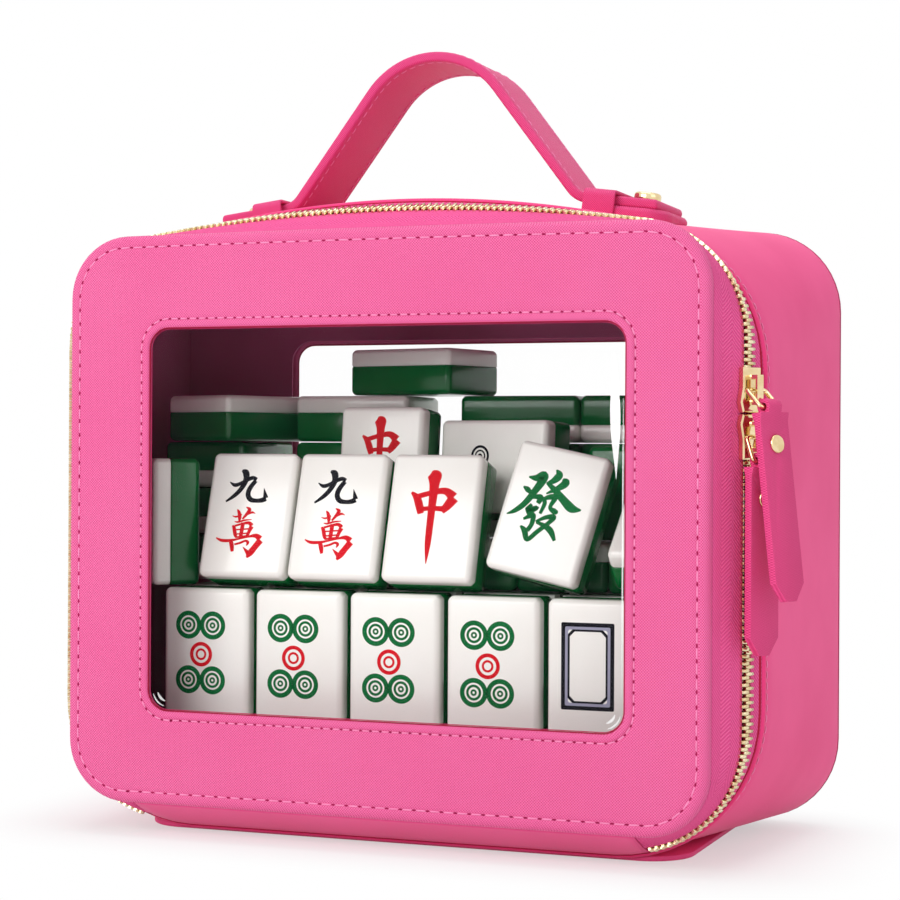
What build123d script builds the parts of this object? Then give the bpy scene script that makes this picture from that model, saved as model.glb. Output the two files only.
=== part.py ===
"""Zip-around mahjong case: a windowed leather case with its lid, zip, handle and the tiles inside.

Origin at the middle of the resting base, front towards -Y, zip sliders on the +X side, +Z up, millimetres.
"""

import os
from math import atan2, cos, degrees, dist, radians, sin, sqrt

from build123d import *

os.makedirs("parts", exist_ok=True)

# ---- driving dimensions ----------------------------------------------------------------------------------
DEPTH = 109.0  # front face of the lid to the back face
BASE_PANEL = 1.6  # leather patch under the body

BACK_HALF_WIDTH = 117.4
BACK_HEIGHT = 191.4
BACK_CORNER = 26.0
BACK_CROWN = 7.0
BACK_EDGE = 6.0  # depth of the back cover's rounded edge

BODY_FLARE = 6.2  # how much wider the back is than the rim, on each side
BODY_RISE = 0.2  # how much higher
RIM_HALF_WIDTH = BACK_HALF_WIDTH - BODY_FLARE
RIM_HEIGHT = BACK_HEIGHT - BODY_RISE
RIM_CORNER = 44.0
RIM_CROWN = 19.0
RIM_SETBACK = 20.8  # front face to the body's rolled rim
RIM_BEAD = 2.6  # width of the rolled rim
RIM_PROUD = 0.9  # how far the rolled rim stands out

BAND_SIDE = 10.2  # rise of the zip's sloping band at each side, from the lid out to the rim
BAND_ENDS = 18.2  # height that the band takes above and below the lid
LID_HALF_WIDTH = RIM_HALF_WIDTH - BAND_SIDE
LID_HEIGHT = RIM_HEIGHT - BAND_ENDS
LID_CORNER = 19.0
LID_CROWN = 0.6  # rise of the lid's top edge over its whole width
LID_EDGE = 2.4  # depth of the rounded edge, front face to seam
LID_BOTTOM = 10.5  # lower edge of the lid above the base

LEATHER = 1.2
BOARD = 1.6
LINING = 0.8
TAPE = 0.8

BORDER_SIDE = 26.0  # leather beside the window
BORDER_ENDS = 28.5  # leather above and below the window
WINDOW_WIDTH = 2 * (LID_HALF_WIDTH - BORDER_SIDE)
WINDOW_HEIGHT = LID_HEIGHT - 2 * BORDER_ENDS
WINDOW_CORNER = 6.5
WINDOW_SHIFT = 1.7  # window centre, right of the middle
FILM = 0.5
FILM_SEAM = 7.0  # film hidden behind the cover
TRIM_WIDTH = 2.4
TRIM_PROUD = 0.5

ZIP_TURN = 22.0  # how far the zip runs in under the lid before it ends
STRIP_HALF = LID_HALF_WIDTH - ZIP_TURN  # leather hinge strip between the two ends of the zip
BASE_SIDE = 23.2  # rim to the base patch, at each side
BASE_BEHIND = 8.2  # base patch to the back face, with the rolled rim's half width
BASE_HALF = RIM_HALF_WIDTH - BASE_SIDE
BASE_LENGTH = DEPTH - RIM_SETBACK - BASE_BEHIND
BASE_CORNER = 14.0

ZIP_LINE = 0.67  # where the chain lies, from the lid's seam (0) to the rim (1)
TOOTH_PITCH = 2.0
TOOTH_THICK = 0.84
TOOTH_REACH = 2.3  # tape edge to chain centre line
TOOTH_OVERLAP = 0.7
TOOTH_SEAT = 0.14  # tape edge to a tooth's root
TOOTH_HEIGHT = 2.2
RUN_LOW = 40.0  # height where the chain starts to run straight up the side

CLEAR = 0.3  # between pieces that move on each other
SLIDER_LENGTH = 12.6
SLIDER_NOSE = 8.8
SLIDER_TAIL = 7.0
SLIDER_PLATE = 1.2
SLIDER_DROP = 55.6  # top of the rim to the upper slider, just under the rim's corner
SLIDER_UPPER_Z = RIM_HEIGHT - SLIDER_DROP
RUN_OVER = 14.4  # straight chain above the upper slider
SLIDER_GAP = 0.5  # between the two sliders' noses
FLANGE = 0.9
POST_WIDTH = 1.4
POST_LENGTH = 3.0
BRIDGE_WIDTH = 2.4
BRIDGE_LENGTH = 8.4
BRIDGE_BAR = 1.3
RING_WIRE = 1.2
RING_WIDTH = 8.4
RING_HEIGHT = 8.4
RING_CORNER = 1.6
PULL_WIDTH = 11.0
PULL_LENGTH = 54.0
PULL_LAYER = 1.2
NECK_WIDTH = 5.0  # pull where it passes through the ring
NECK_DROP = 4.0
PULL_TILT_UPPER = 8.0
RING_SWING_UPPER = 48.0
RING_SWING_LOWER = 22.0
RIVET_RADIUS = 2.6
RIVET_HEAD = 0.7
RIVET_DROP = 10.5

HANDLE_WIDTH = 30.0
HANDLE_THICK = 3.0
HANDLE_Y = RIM_SETBACK + (DEPTH - RIM_SETBACK) * 0.467  # front face to the strap's centre line
HANDLE_SLOPE = 53.0  # degrees, of the strap's two straight runs
HANDLE_INSET = 64.7  # side of the rim to where the strap turns up
HANDLE_FOOT = RIM_HALF_WIDTH - HANDLE_INSET
APEX_RADIUS = 26.0
FOOT_RADIUS = 8.0
TAB_OUT = 15.5  # strap's turn to the tab's middle
TAB_MIDDLE = HANDLE_FOOT + TAB_OUT
TAB_LENGTH = 38.0
TAB_WIDTH = 34.0
TAB_THICK = 3.2
KEEPER_IN = 7.5  # tab's middle to the keeper's
KEEPER_MIDDLE = TAB_MIDDLE - KEEPER_IN
KEEPER_LENGTH = 10.0
KEEPER_THICK = 1.2
STUD_RADIUS = 4.2
STUD_HEIGHT = 3.0
STUD_INSET = 6.5  # stud centre, in from the strap's end
STRAP_END = 13.0

TILE_HEIGHT = min(0.367 * DEPTH, 0.341 * BACK_HALF_WIDTH)  # the set is made to fill the case
TILE_WIDTH = 0.725 * TILE_HEIGHT
TILE_DEPTH = 0.375 * TILE_HEIGHT
TILE_FACE = 0.37 * TILE_DEPTH  # ivory share of the depth
TILE_CHAMFER = 1.2
TILE_GAP = 0.3
ROW_LOOSE = 2.7  # play between the tiles of a standing row
ROW_PITCH = TILE_WIDTH + ROW_LOOSE
ROW_SHIFT = -2.9  # middle tile of a row from the middle of the case
ROW_BEHIND = 4.9  # last row of standing tiles to the back lining

# ---- derived places --------------------------------------------------------------------------------------
FRONT = -DEPTH / 2
BACK = DEPTH / 2
SEAM_Y = FRONT + LID_EDGE
RIM_Y = FRONT + RIM_SETBACK
WALL_Y = RIM_Y + RIM_BEAD / 2
BACK_Y = BACK - BACK_EDGE
BODY_BOTTOM = BASE_PANEL
CENTRE = LID_BOTTOM + LID_HEIGHT / 2
WALL = LEATHER + BOARD + LINING
FLOOR = BODY_BOTTOM + WALL

RIM_FRONT = RIM_Y - RIM_BEAD / 2
CHAIN_Y = SEAM_Y + (RIM_FRONT - SEAM_Y) * ZIP_LINE
NOSES_Z = SLIDER_UPPER_Z - SLIDER_LENGTH / 2 - SLIDER_GAP / 2
PLATE_TOP = (TOOTH_HEIGHT - TAPE) / 2 + CLEAR  # slider plates, out from the tape's outer face
PLATE_BOTTOM = -TAPE - PLATE_TOP
BRIDGE_EYE = RING_WIRE + 3 * CLEAR
BRIDGE_RISE = BRIDGE_EYE + BRIDGE_BAR
EYE_OUT = PLATE_TOP + SLIDER_PLATE + BRIDGE_EYE / 2

LID = (LID_HALF_WIDTH, LID_BOTTOM + LID_HEIGHT, LID_BOTTOM, LID_CROWN, LID_CORNER)
RIM = (RIM_HALF_WIDTH, BODY_BOTTOM + RIM_HEIGHT, BODY_BOTTOM, RIM_CROWN, RIM_CORNER)
REAR = (BACK_HALF_WIDTH, BODY_BOTTOM + BACK_HEIGHT, BODY_BOTTOM, BACK_CROWN, BACK_CORNER)


def front_plane(y):
    """Upright plane at depth y: local x is +X, local y is +Z."""
    return Plane(origin=(0, y, 0), x_dir=(1, 0, 0), z_dir=(0, -1, 0))


def segments(form, inset=0.0):
    """The outline as eight joined pieces, anticlockwise from the base: (centre, radius, start, sweep) or ends."""
    half, top, bottom, crown, corner = form
    crown_radius = (half**2 + crown**2) / (2 * crown) - inset
    half, top, bottom, corner = half - inset, top - inset, bottom + inset, corner - inset
    side = half - corner
    low = bottom + corner
    crown_centre = top - crown_radius
    high = crown_centre + sqrt((crown_radius - corner) ** 2 - side**2)
    lean = degrees(atan2(high - crown_centre, side))
    return [
        ((-side, bottom), (side, bottom)),
        ((side, low), corner, -90, 90),
        ((half, low), (half, high)),
        ((side, high), corner, 0, lean),
        ((0, crown_centre), crown_radius, lean, 180 - 2 * lean),
        ((-side, high), corner, 180 - lean, lean),
        ((-half, high), (-half, low)),
        ((-side, low), corner, 180, 90),
    ]


def outline(form, inset=0.0):
    """Sketch of an outline."""
    with BuildSketch() as shape:
        with BuildLine():
            for piece in segments(form, inset):
                if len(piece) == 2:
                    Line(*piece)
                else:
                    CenterArc(*piece)
        make_face()
    return shape.sketch


def along(piece, v):
    """Point a share v of the way along one piece of an outline."""
    if len(piece) == 2:
        (x0, z0), (x1, z1) = piece
        return x0 + (x1 - x0) * v, z0 + (z1 - z0) * v
    (cx, cz), radius, start, sweep = piece
    angle = radians(start + sweep * v)
    return cx + radius * cos(angle), cz + radius * sin(angle)


def gusset_point(share, index, v):
    """Point on the ruled band between the lid's seam (share 0) and the body's rim (share 1)."""
    x0, z0 = along(segments(LID)[index], v)
    x1, z1 = along(segments(RIM)[index], v)
    return (
        x0 + (x1 - x0) * share,
        SEAM_Y + (RIM_FRONT - SEAM_Y) * share,
        z0 + (z1 - z0) * share,
    )


def prism(form, y0, y1, inset=0.0):
    """Straight solid of an outline from y0 back to y1."""
    with BuildPart() as solid:
        with BuildSketch(front_plane(y0)):
            add(outline(form, inset))
        extrude(amount=y0 - y1)
    return solid.part


def taper(form0, form1, y0, y1, inset=0.0):
    """Ruled solid from one outline at y0 to another at y1."""
    with BuildPart() as solid:
        with BuildSketch(front_plane(y0)):
            add(outline(form0, inset))
        with BuildSketch(front_plane(y1)):
            add(outline(form1, inset))
        loft(ruled=True)
    return solid.part


def window_hole(y0, y1, grow=0.0):
    """Rounded window opening from y0 back to y1."""
    with BuildPart() as hole:
        with BuildSketch(front_plane(y0)):
            with Locations((WINDOW_SHIFT, CENTRE)):
                RectangleRounded(WINDOW_WIDTH + 2 * grow, WINDOW_HEIGHT + 2 * grow, WINDOW_CORNER + grow)
        extrude(amount=y0 - y1)
    return hole.part


def save(builder, name):
    """Label a finished piece and write it."""
    builder.part.label = name
    export_step(builder.part, f"parts/{name}.step")


# ---- covers, boards, linings and windows of the lid and the back -------------------------------------------
def edge_face(solid, y):
    """Faces of a solid that lie flat at depth y."""
    return solid.faces().filter_by(Axis.Y).filter_by(lambda f: abs(f.center().Y - y) < 0.01)


def lid_panel():
    with BuildPart() as cover:
        add(prism(LID, FRONT, SEAM_Y))
        fillet(edge_face(cover, FRONT).edges(), LID_EDGE - 0.2)
        add(prism(LID, FRONT + LEATHER, SEAM_Y, LEATHER), mode=Mode.SUBTRACT)
        add(window_hole(FRONT - 1, SEAM_Y, TRIM_WIDTH), mode=Mode.SUBTRACT)
    save(cover, "lid_cover")

    board_front = FRONT + LEATHER
    board_back = board_front + BOARD
    with BuildPart() as board:
        add(prism(LID, board_front, board_back, LEATHER + 0.05))
        add(window_hole(board_front, board_back, FILM_SEAM + 0.2), mode=Mode.SUBTRACT)
    save(board, "lid_board")

    with BuildPart() as film:
        add(window_hole(board_front, board_front + FILM, FILM_SEAM))
    save(film, "lid_window")

    with BuildPart() as lining:
        add(prism(LID, board_back, board_back + LINING, LEATHER + 0.05))
        add(window_hole(board_back, board_back + LINING, 1.0), mode=Mode.SUBTRACT)
    save(lining, "lid_lining")

    with BuildPart() as trim:
        add(window_hole(FRONT - TRIM_PROUD, board_front, TRIM_WIDTH))
        add(window_hole(FRONT - TRIM_PROUD, board_front), mode=Mode.SUBTRACT)
        fillet(edge_face(trim, FRONT - TRIM_PROUD).edges(), TRIM_PROUD)
    save(trim, "lid_window_trim")


def back_panel():
    with BuildPart() as cover:
        add(prism(REAR, BACK_Y, BACK))
        fillet(edge_face(cover, BACK).edges(), BACK_EDGE - 0.4)
        with BuildPart(mode=Mode.PRIVATE) as hollow:
            add(prism(REAR, BACK_Y, BACK - LEATHER, LEATHER))
            fillet(edge_face(hollow, BACK - LEATHER).edges(), BACK_EDGE - 0.4 - LEATHER)
        add(hollow.part, mode=Mode.SUBTRACT)
        add(window_hole(BACK_Y, BACK + 1, TRIM_WIDTH), mode=Mode.SUBTRACT)
    save(cover, "back_cover")

    board_back = BACK - LEATHER
    board_front = board_back - BOARD
    with BuildPart() as board:
        add(prism(REAR, BACK_Y, board_back, LEATHER))
        fillet(edge_face(board, board_back).edges(), BACK_EDGE - 0.4 - LEATHER)
        add(prism(REAR, BACK_Y - 1, board_front), mode=Mode.SUBTRACT)
        add(window_hole(board_front, board_back, FILM_SEAM + 0.2), mode=Mode.SUBTRACT)
    save(board, "back_board")

    with BuildPart() as film:
        add(window_hole(board_back - FILM, board_back, FILM_SEAM))
    save(film, "back_window")

    with BuildPart() as lining:
        add(prism(REAR, board_front - LINING, board_front, LEATHER + BOARD + LINING))
        add(window_hole(board_front - LINING, board_front, 1.0), mode=Mode.SUBTRACT)
    save(lining, "back_lining")

    with BuildPart() as trim:
        add(window_hole(board_back, BACK + TRIM_PROUD, TRIM_WIDTH))
        add(window_hole(board_back, BACK + TRIM_PROUD), mode=Mode.SUBTRACT)
        fillet(edge_face(trim, BACK + TRIM_PROUD).edges(), TRIM_PROUD)
    save(trim, "back_window_trim")
    return board_front


# ---- body walls --------------------------------------------------------------------------------------------
def lining_form(inset, y_end):
    """Solid inside the body wall at an inset, carried straight on past the back cover's seam to y_end."""
    with BuildPart() as form:
        add(taper(RIM, REAR, WALL_Y, BACK_Y, inset))
        add(prism(REAR, BACK_Y, y_end, inset))
    return form.part


def body_walls(board_front):
    layers = (("gusset", 0.0, LEATHER), ("wall_board", LEATHER, BOARD))
    for name, inset, thick in layers:
        with BuildPart() as layer:
            add(taper(RIM, REAR, WALL_Y, BACK_Y, inset))
            add(taper(RIM, REAR, WALL_Y, BACK_Y, inset + thick), mode=Mode.SUBTRACT)
        save(layer, name)
    inset = LEATHER + BOARD
    with BuildPart() as lining:
        add(lining_form(inset, board_front))
        add(lining_form(inset + LINING, board_front), mode=Mode.SUBTRACT)
    save(lining, "wall_lining")

    with BuildPart() as rim:
        add(prism(RIM, RIM_FRONT, WALL_Y, -RIM_PROUD))
        fillet(rim.edges().filter_by(Plane.XZ), RIM_PROUD)
        add(prism(RIM, RIM_Y - RIM_BEAD, WALL_Y, WALL), mode=Mode.SUBTRACT)
        with Locations((0, RIM_Y, BODY_BOTTOM - 5)):
            Box(4 * RIM_HALF_WIDTH, 4 * RIM_BEAD, 10, mode=Mode.SUBTRACT)
    save(rim, "body_rim")


def base():
    with BuildPart() as panel:
        with BuildSketch():
            with Locations((0, WALL_Y + BASE_LENGTH / 2)):
                RectangleRounded(2 * BASE_HALF, BASE_LENGTH, BASE_CORNER)
        extrude(amount=BASE_PANEL)
        chamfer(panel.faces().sort_by(Axis.Z)[0].edges(), 0.4)
    save(panel, "base_panel")


# ---- zip: tapes, teeth and hinge strip ----------------------------------------------------------------------
def tape_band(y0, y1, thick):
    """Ring of the sloping band between the lid's seam and the rim, from y0 to y1."""
    with BuildPart() as band:
        add(taper(LID, RIM, SEAM_Y, RIM_FRONT))
        add(taper(LID, RIM, SEAM_Y, RIM_FRONT, thick), mode=Mode.SUBTRACT)
        with Locations((0, (y0 + y1) / 2, CENTRE)):
            Box(4 * RIM_HALF_WIDTH, y1 - y0, 4 * RIM_HEIGHT, mode=Mode.INTERSECT)
    return band.part


def strip_zone(slack=0.0):
    """Block around the middle of the lower band, where the hinge strip takes the zip's place."""
    with BuildPart() as zone:
        with Locations((0, RIM_Y, 0)):
            Box(2 * (STRIP_HALF + slack), 4 * RIM_SETBACK, 2 * (LID_BOTTOM + LID_CORNER))
    return zone.part


def tapes():
    zone = strip_zone(CLEAR)
    for name, y0, y1 in (
        ("lid_zip_tape", SEAM_Y, CHAIN_Y - TOOTH_REACH),
        ("body_zip_tape", CHAIN_Y + TOOTH_REACH, RIM_FRONT),
    ):
        with BuildPart() as tape:
            add(tape_band(y0, y1, TAPE))
            add(zone, mode=Mode.SUBTRACT)
        save(tape, name)
    with BuildPart() as strip:
        add(tape_band(SEAM_Y + CLEAR, RIM_FRONT, LEATHER))
        add(strip_zone(), mode=Mode.INTERSECT)
    save(strip, "hinge_strip")


def chain_planes():
    """Planes along the chain, half a pitch apart: x from lid to body, y into the case, z along the chain."""
    steps = [(i, j / 40) for i in range(8) for j in range(40)]
    path = [gusset_point(ZIP_LINE, i, v) for i, v in steps]
    places = []
    travelled, goal = 0.0, 0.0
    for k in range(len(path)):
        here, after = path[k], path[(k + 1) % len(path)]
        length = dist(here, after)
        while length > 0 and goal < travelled + length:
            share = (goal - travelled) / length
            i, v = steps[k]
            v += share / 40
            lid, rim = Vector(gusset_point(0, i, v)), Vector(gusset_point(1, i, v))
            spot = lid + (rim - lid) * ZIP_LINE
            tangent = (Vector(after) - Vector(here)).normalized()
            places.append(Plane(origin=spot, x_dir=(rim - lid).normalized(), z_dir=tangent))
            goal += TOOTH_PITCH / 2
        travelled += length
    return places


def in_strip(plane):
    return abs(plane.origin.X) < STRIP_HALF + TOOTH_PITCH and plane.origin.Z < LID_BOTTOM + LID_CORNER


def beside_sliders(plane):
    """True on the straight run that the sliders travel."""
    return plane.origin.X > LID_HALF_WIDTH and RUN_LOW < plane.origin.Z < SLIDER_UPPER_Z + RUN_OVER


def at_diamond(plane):
    """True between the two sliders' noses, where the chain is parted."""
    return plane.origin.X > LID_HALF_WIDTH and abs(plane.origin.Z - NOSES_Z) < POST_LENGTH + TOOTH_PITCH


def teeth():
    root, tip = TOOTH_SEAT - TOOTH_REACH, TOOTH_OVERLAP
    for side, first in ((1, 0), (-1, 1)):
        with BuildPart() as tooth:
            with BuildSketch(Plane.XY.offset(-TOOTH_THICK / 2)):
                with BuildLine():
                    Polyline(
                        (side * root, TAPE / 2 - TOOTH_HEIGHT / 2),
                        (side * tip, TAPE / 2 - TOOTH_HEIGHT * 0.4),
                        (side * tip, TAPE / 2 + TOOTH_HEIGHT * 0.4),
                        (side * root, TAPE / 2 + TOOTH_HEIGHT / 2),
                        close=True,
                    )
                make_face()
            extrude(amount=TOOTH_THICK)
        half = chain_planes()[first::2]
        keep = [p for p in half if not in_strip(p) and not at_diamond(p)]
        owner = "lid" if side == 1 else "body"
        for name, chosen in (
            (f"{owner}_teeth", [p for p in keep if not beside_sliders(p)]),
            (f"{owner}_teeth_run", [p for p in keep if beside_sliders(p)]),
        ):
            with BuildPart() as row:
                with Locations(*chosen):
                    add(tooth.part)
            save(row, name)


# ---- sliders, rings and pulls -------------------------------------------------------------------------------
def side_plane(z):
    """Plane on the right-hand zip at height z: x from lid to body, y up, z out of the case."""
    across = Vector(RIM_HALF_WIDTH - LID_HALF_WIDTH, RIM_FRONT - SEAM_Y, 0)
    spot = Vector(LID_HALF_WIDTH, SEAM_Y, z) + across * ZIP_LINE
    return Plane(origin=spot, x_dir=across, z_dir=across.cross(Vector(0, 0, 1)))


def shield(tail_up, length, grow=0.0):
    """Slider outline, nose towards the other slider."""
    up = 1 if tail_up else -1
    half_nose, half_tail, half = SLIDER_NOSE / 2 - grow, SLIDER_TAIL / 2 - grow, length / 2
    with BuildSketch() as shape:
        with BuildLine():
            Polyline(
                (-half_tail, up * half),
                (half_tail, up * half),
                (half_tail, up * half * 0.1),
                (half_nose, -up * half * 0.55),
                (half_nose * 0.8, -up * half),
                (-half_nose * 0.8, -up * half),
                (-half_nose, -up * half * 0.55),
                (-half_tail, up * half * 0.1),
                close=True,
            )
        make_face()
    return shape.sketch


def slider(place, name, tail_up):
    out = 1 if tail_up else -1
    top, bottom = PLATE_TOP, PLATE_BOTTOM
    with BuildPart() as body:
        with BuildSketch(Plane.XY.offset(top)):
            add(shield(tail_up, SLIDER_LENGTH))
        extrude(amount=SLIDER_PLATE)
        chamfer(body.faces().sort_by(Axis.Z)[-1].edges(), 0.4)
        with BuildSketch(Plane.XY.offset(CLEAR)):
            add(shield(tail_up, SLIDER_LENGTH))
            add(shield(tail_up, SLIDER_LENGTH + 1, FLANGE), mode=Mode.SUBTRACT)
        extrude(amount=top - CLEAR)
        with BuildSketch(Plane.XY.offset(bottom)):
            add(shield(tail_up, SLIDER_LENGTH))
        extrude(amount=-SLIDER_PLATE)
        with BuildSketch(Plane.XY.offset(bottom)):
            add(shield(tail_up, SLIDER_LENGTH))
            add(shield(tail_up, SLIDER_LENGTH + 1, FLANGE), mode=Mode.SUBTRACT)
        extrude(amount=-TAPE - CLEAR - bottom)
        with BuildSketch(Plane.XY.offset(bottom)):
            with Locations((0, -out * (SLIDER_LENGTH / 2 - POST_LENGTH / 2))):
                RectangleRounded(POST_WIDTH, POST_LENGTH, POST_WIDTH * 0.4)
        extrude(amount=top - bottom)
        with BuildSketch(Plane.YZ.offset(-BRIDGE_WIDTH / 2)):
            with Locations((0, top + SLIDER_PLATE + BRIDGE_RISE / 2)):
                Rectangle(BRIDGE_LENGTH, BRIDGE_RISE)
            with Locations((0, top + SLIDER_PLATE + BRIDGE_EYE / 2)):
                Rectangle(BRIDGE_LENGTH - 2 * BRIDGE_BAR, BRIDGE_EYE, mode=Mode.SUBTRACT)
        extrude(amount=BRIDGE_WIDTH)
        bridge_top = body.faces().sort_by(Axis.Z)[-1]
        chamfer(bridge_top.edges(), 0.5)
    placed(body, place, name)


def placed(builder, plane, name):
    """Write a piece built at the origin, moved to its plane."""
    with BuildPart() as moved:
        with Locations(plane):
            add(builder.part)
    save(moved, name)


def swung(plane, out_from, turn):
    """The plane moved to a hinge line, its local x at out_from, and swung outwards about it by turn degrees."""
    spot = plane.from_local_coords(out_from)
    moved = Plane(origin=spot, x_dir=plane.x_dir, z_dir=plane.z_dir)
    return Plane(moved.location * Location((0, 0, 0), (-turn, 0, 0)))


def ring(place, name):
    """Wire loop whose top bar lies on the hinge line at the plane's origin, hanging down local y."""
    half = RING_WIRE / 2
    with BuildPart() as wire:
        with BuildSketch(Plane.XY.offset(-half)):
            with Locations((0, half - RING_HEIGHT / 2)):
                RectangleRounded(RING_WIDTH, RING_HEIGHT, RING_CORNER)
                RectangleRounded(
                    RING_WIDTH - 2 * RING_WIRE, RING_HEIGHT - 2 * RING_WIRE, RING_CORNER / 2, mode=Mode.SUBTRACT
                )
        extrude(amount=RING_WIRE)
    placed(wire, place, name)


def pull(place, name, rivet_name):
    """Leather strap folded round the ring's wire at the plane's origin, with a pointed end."""
    fold = RING_WIRE * 0.71 + CLEAR
    half = PULL_WIDTH / 2
    neck_cut = half - NECK_WIDTH / 2
    with BuildPart() as strap:
        with BuildSketch(Plane.YZ):
            with BuildLine():
                Line((-PULL_LENGTH, -PULL_LAYER), (-PULL_LENGTH, PULL_LAYER))
                Line((-PULL_LENGTH, PULL_LAYER), (-RIVET_DROP * 0.4, PULL_LAYER))
                Line((-RIVET_DROP * 0.4, PULL_LAYER), (0, fold + PULL_LAYER))
                RadiusArc((0, fold + PULL_LAYER), (0, -fold - PULL_LAYER), fold + PULL_LAYER)
                Line((0, -fold - PULL_LAYER), (-RIVET_DROP * 0.4, -PULL_LAYER))
                Line((-RIVET_DROP * 0.4, -PULL_LAYER), (-PULL_LENGTH, -PULL_LAYER))
            make_face()
        extrude(amount=half, both=True)
        with Locations((0, 0, 0)):
            Cylinder(fold, PULL_WIDTH, rotation=(0, 90, 0), mode=Mode.SUBTRACT)
        with BuildSketch(Plane.XY.offset(-4 * PULL_LAYER)):
            with BuildLine():
                Polyline(
                    (-half, -PULL_LENGTH - 1),
                    (half, -PULL_LENGTH - 1),
                    (half, -PULL_LENGTH + half * 0.9),
                    (half * 0.35, -PULL_LENGTH),
                    (-half * 0.35, -PULL_LENGTH),
                    (-half, -PULL_LENGTH + half * 0.9),
                    close=True,
                )
            make_face()
        extrude(amount=8 * PULL_LAYER, mode=Mode.SUBTRACT)
        for side in (-1, 1):
            with BuildSketch(Plane.XY.offset(-4 * PULL_LAYER)):
                with Locations((side * half, fold + PULL_LAYER)):
                    Rectangle(2 * neck_cut, 2 * NECK_DROP)
            extrude(amount=8 * PULL_LAYER, mode=Mode.SUBTRACT)
        with Locations((0, -RIVET_DROP, 0)):
            Cylinder(RIVET_RADIUS * 0.5, 4 * PULL_LAYER, mode=Mode.SUBTRACT)
    placed(strap, place, name)
    with BuildPart() as rivet:
        with Locations((0, -RIVET_DROP, 0)):
            Cylinder(RIVET_RADIUS * 0.5, 2 * PULL_LAYER)
            for side in (-1, 1):
                with Locations((0, 0, side * (PULL_LAYER + RIVET_HEAD / 2))):
                    Cylinder(RIVET_RADIUS, RIVET_HEAD)
        chamfer(rivet.faces().sort_by(Axis.Z)[-1].edges(), 0.25)
    placed(rivet, place, rivet_name)


def sliders():
    for name, z, tail_up, swing, tilt in (
        ("upper", SLIDER_UPPER_Z, True, RING_SWING_UPPER, PULL_TILT_UPPER),
        ("lower", SLIDER_UPPER_Z - SLIDER_LENGTH - SLIDER_GAP, False, RING_SWING_LOWER, 0.0),
    ):
        place = side_plane(z)
        slider(place, f"slider_{name}", tail_up)
        ring_plane = swung(place, (0, 0, EYE_OUT), swing)
        ring(ring_plane, f"ring_{name}")
        foot = place.to_local_coords(ring_plane.from_local_coords((0, RING_WIRE - RING_HEIGHT, 0)))
        pull(swung(place, foot, tilt), f"pull_{name}", f"pull_rivet_{name}")


# ---- handle -------------------------------------------------------------------------------------------------
def crown_height(x):
    """Height of the body's crowned top at x, half-way back."""
    share = (FRONT + HANDLE_Y - WALL_Y) / (BACK_Y - WALL_Y)
    rim_sag = RIM_CROWN * (x / RIM_HALF_WIDTH) ** 2
    back_sag = BACK_CROWN * (x / BACK_HALF_WIDTH) ** 2
    return (RIM[1] - rim_sag) * (1 - share) + (REAR[1] - back_sag) * share


def foot_plane():
    """Plane on the crowned top under the right-hand tab: x outwards along the crown, z away from it."""
    rise = crown_height(TAB_MIDDLE + 1) - crown_height(TAB_MIDDLE - 1)
    lean = Vector(2, 0, rise).normalized()
    return Plane(
        origin=(TAB_MIDDLE, FRONT + HANDLE_Y, crown_height(TAB_MIDDLE)),
        x_dir=lean,
        z_dir=lean.cross(Vector(0, 1, 0)),
    )


def mirrored(builder, name):
    """Write a right-hand piece and its left-hand twin."""
    save(builder, f"{name}_right")
    with BuildPart() as twin:
        add(builder.part.mirror(Plane.YZ))
    save(twin, f"{name}_left")


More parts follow.
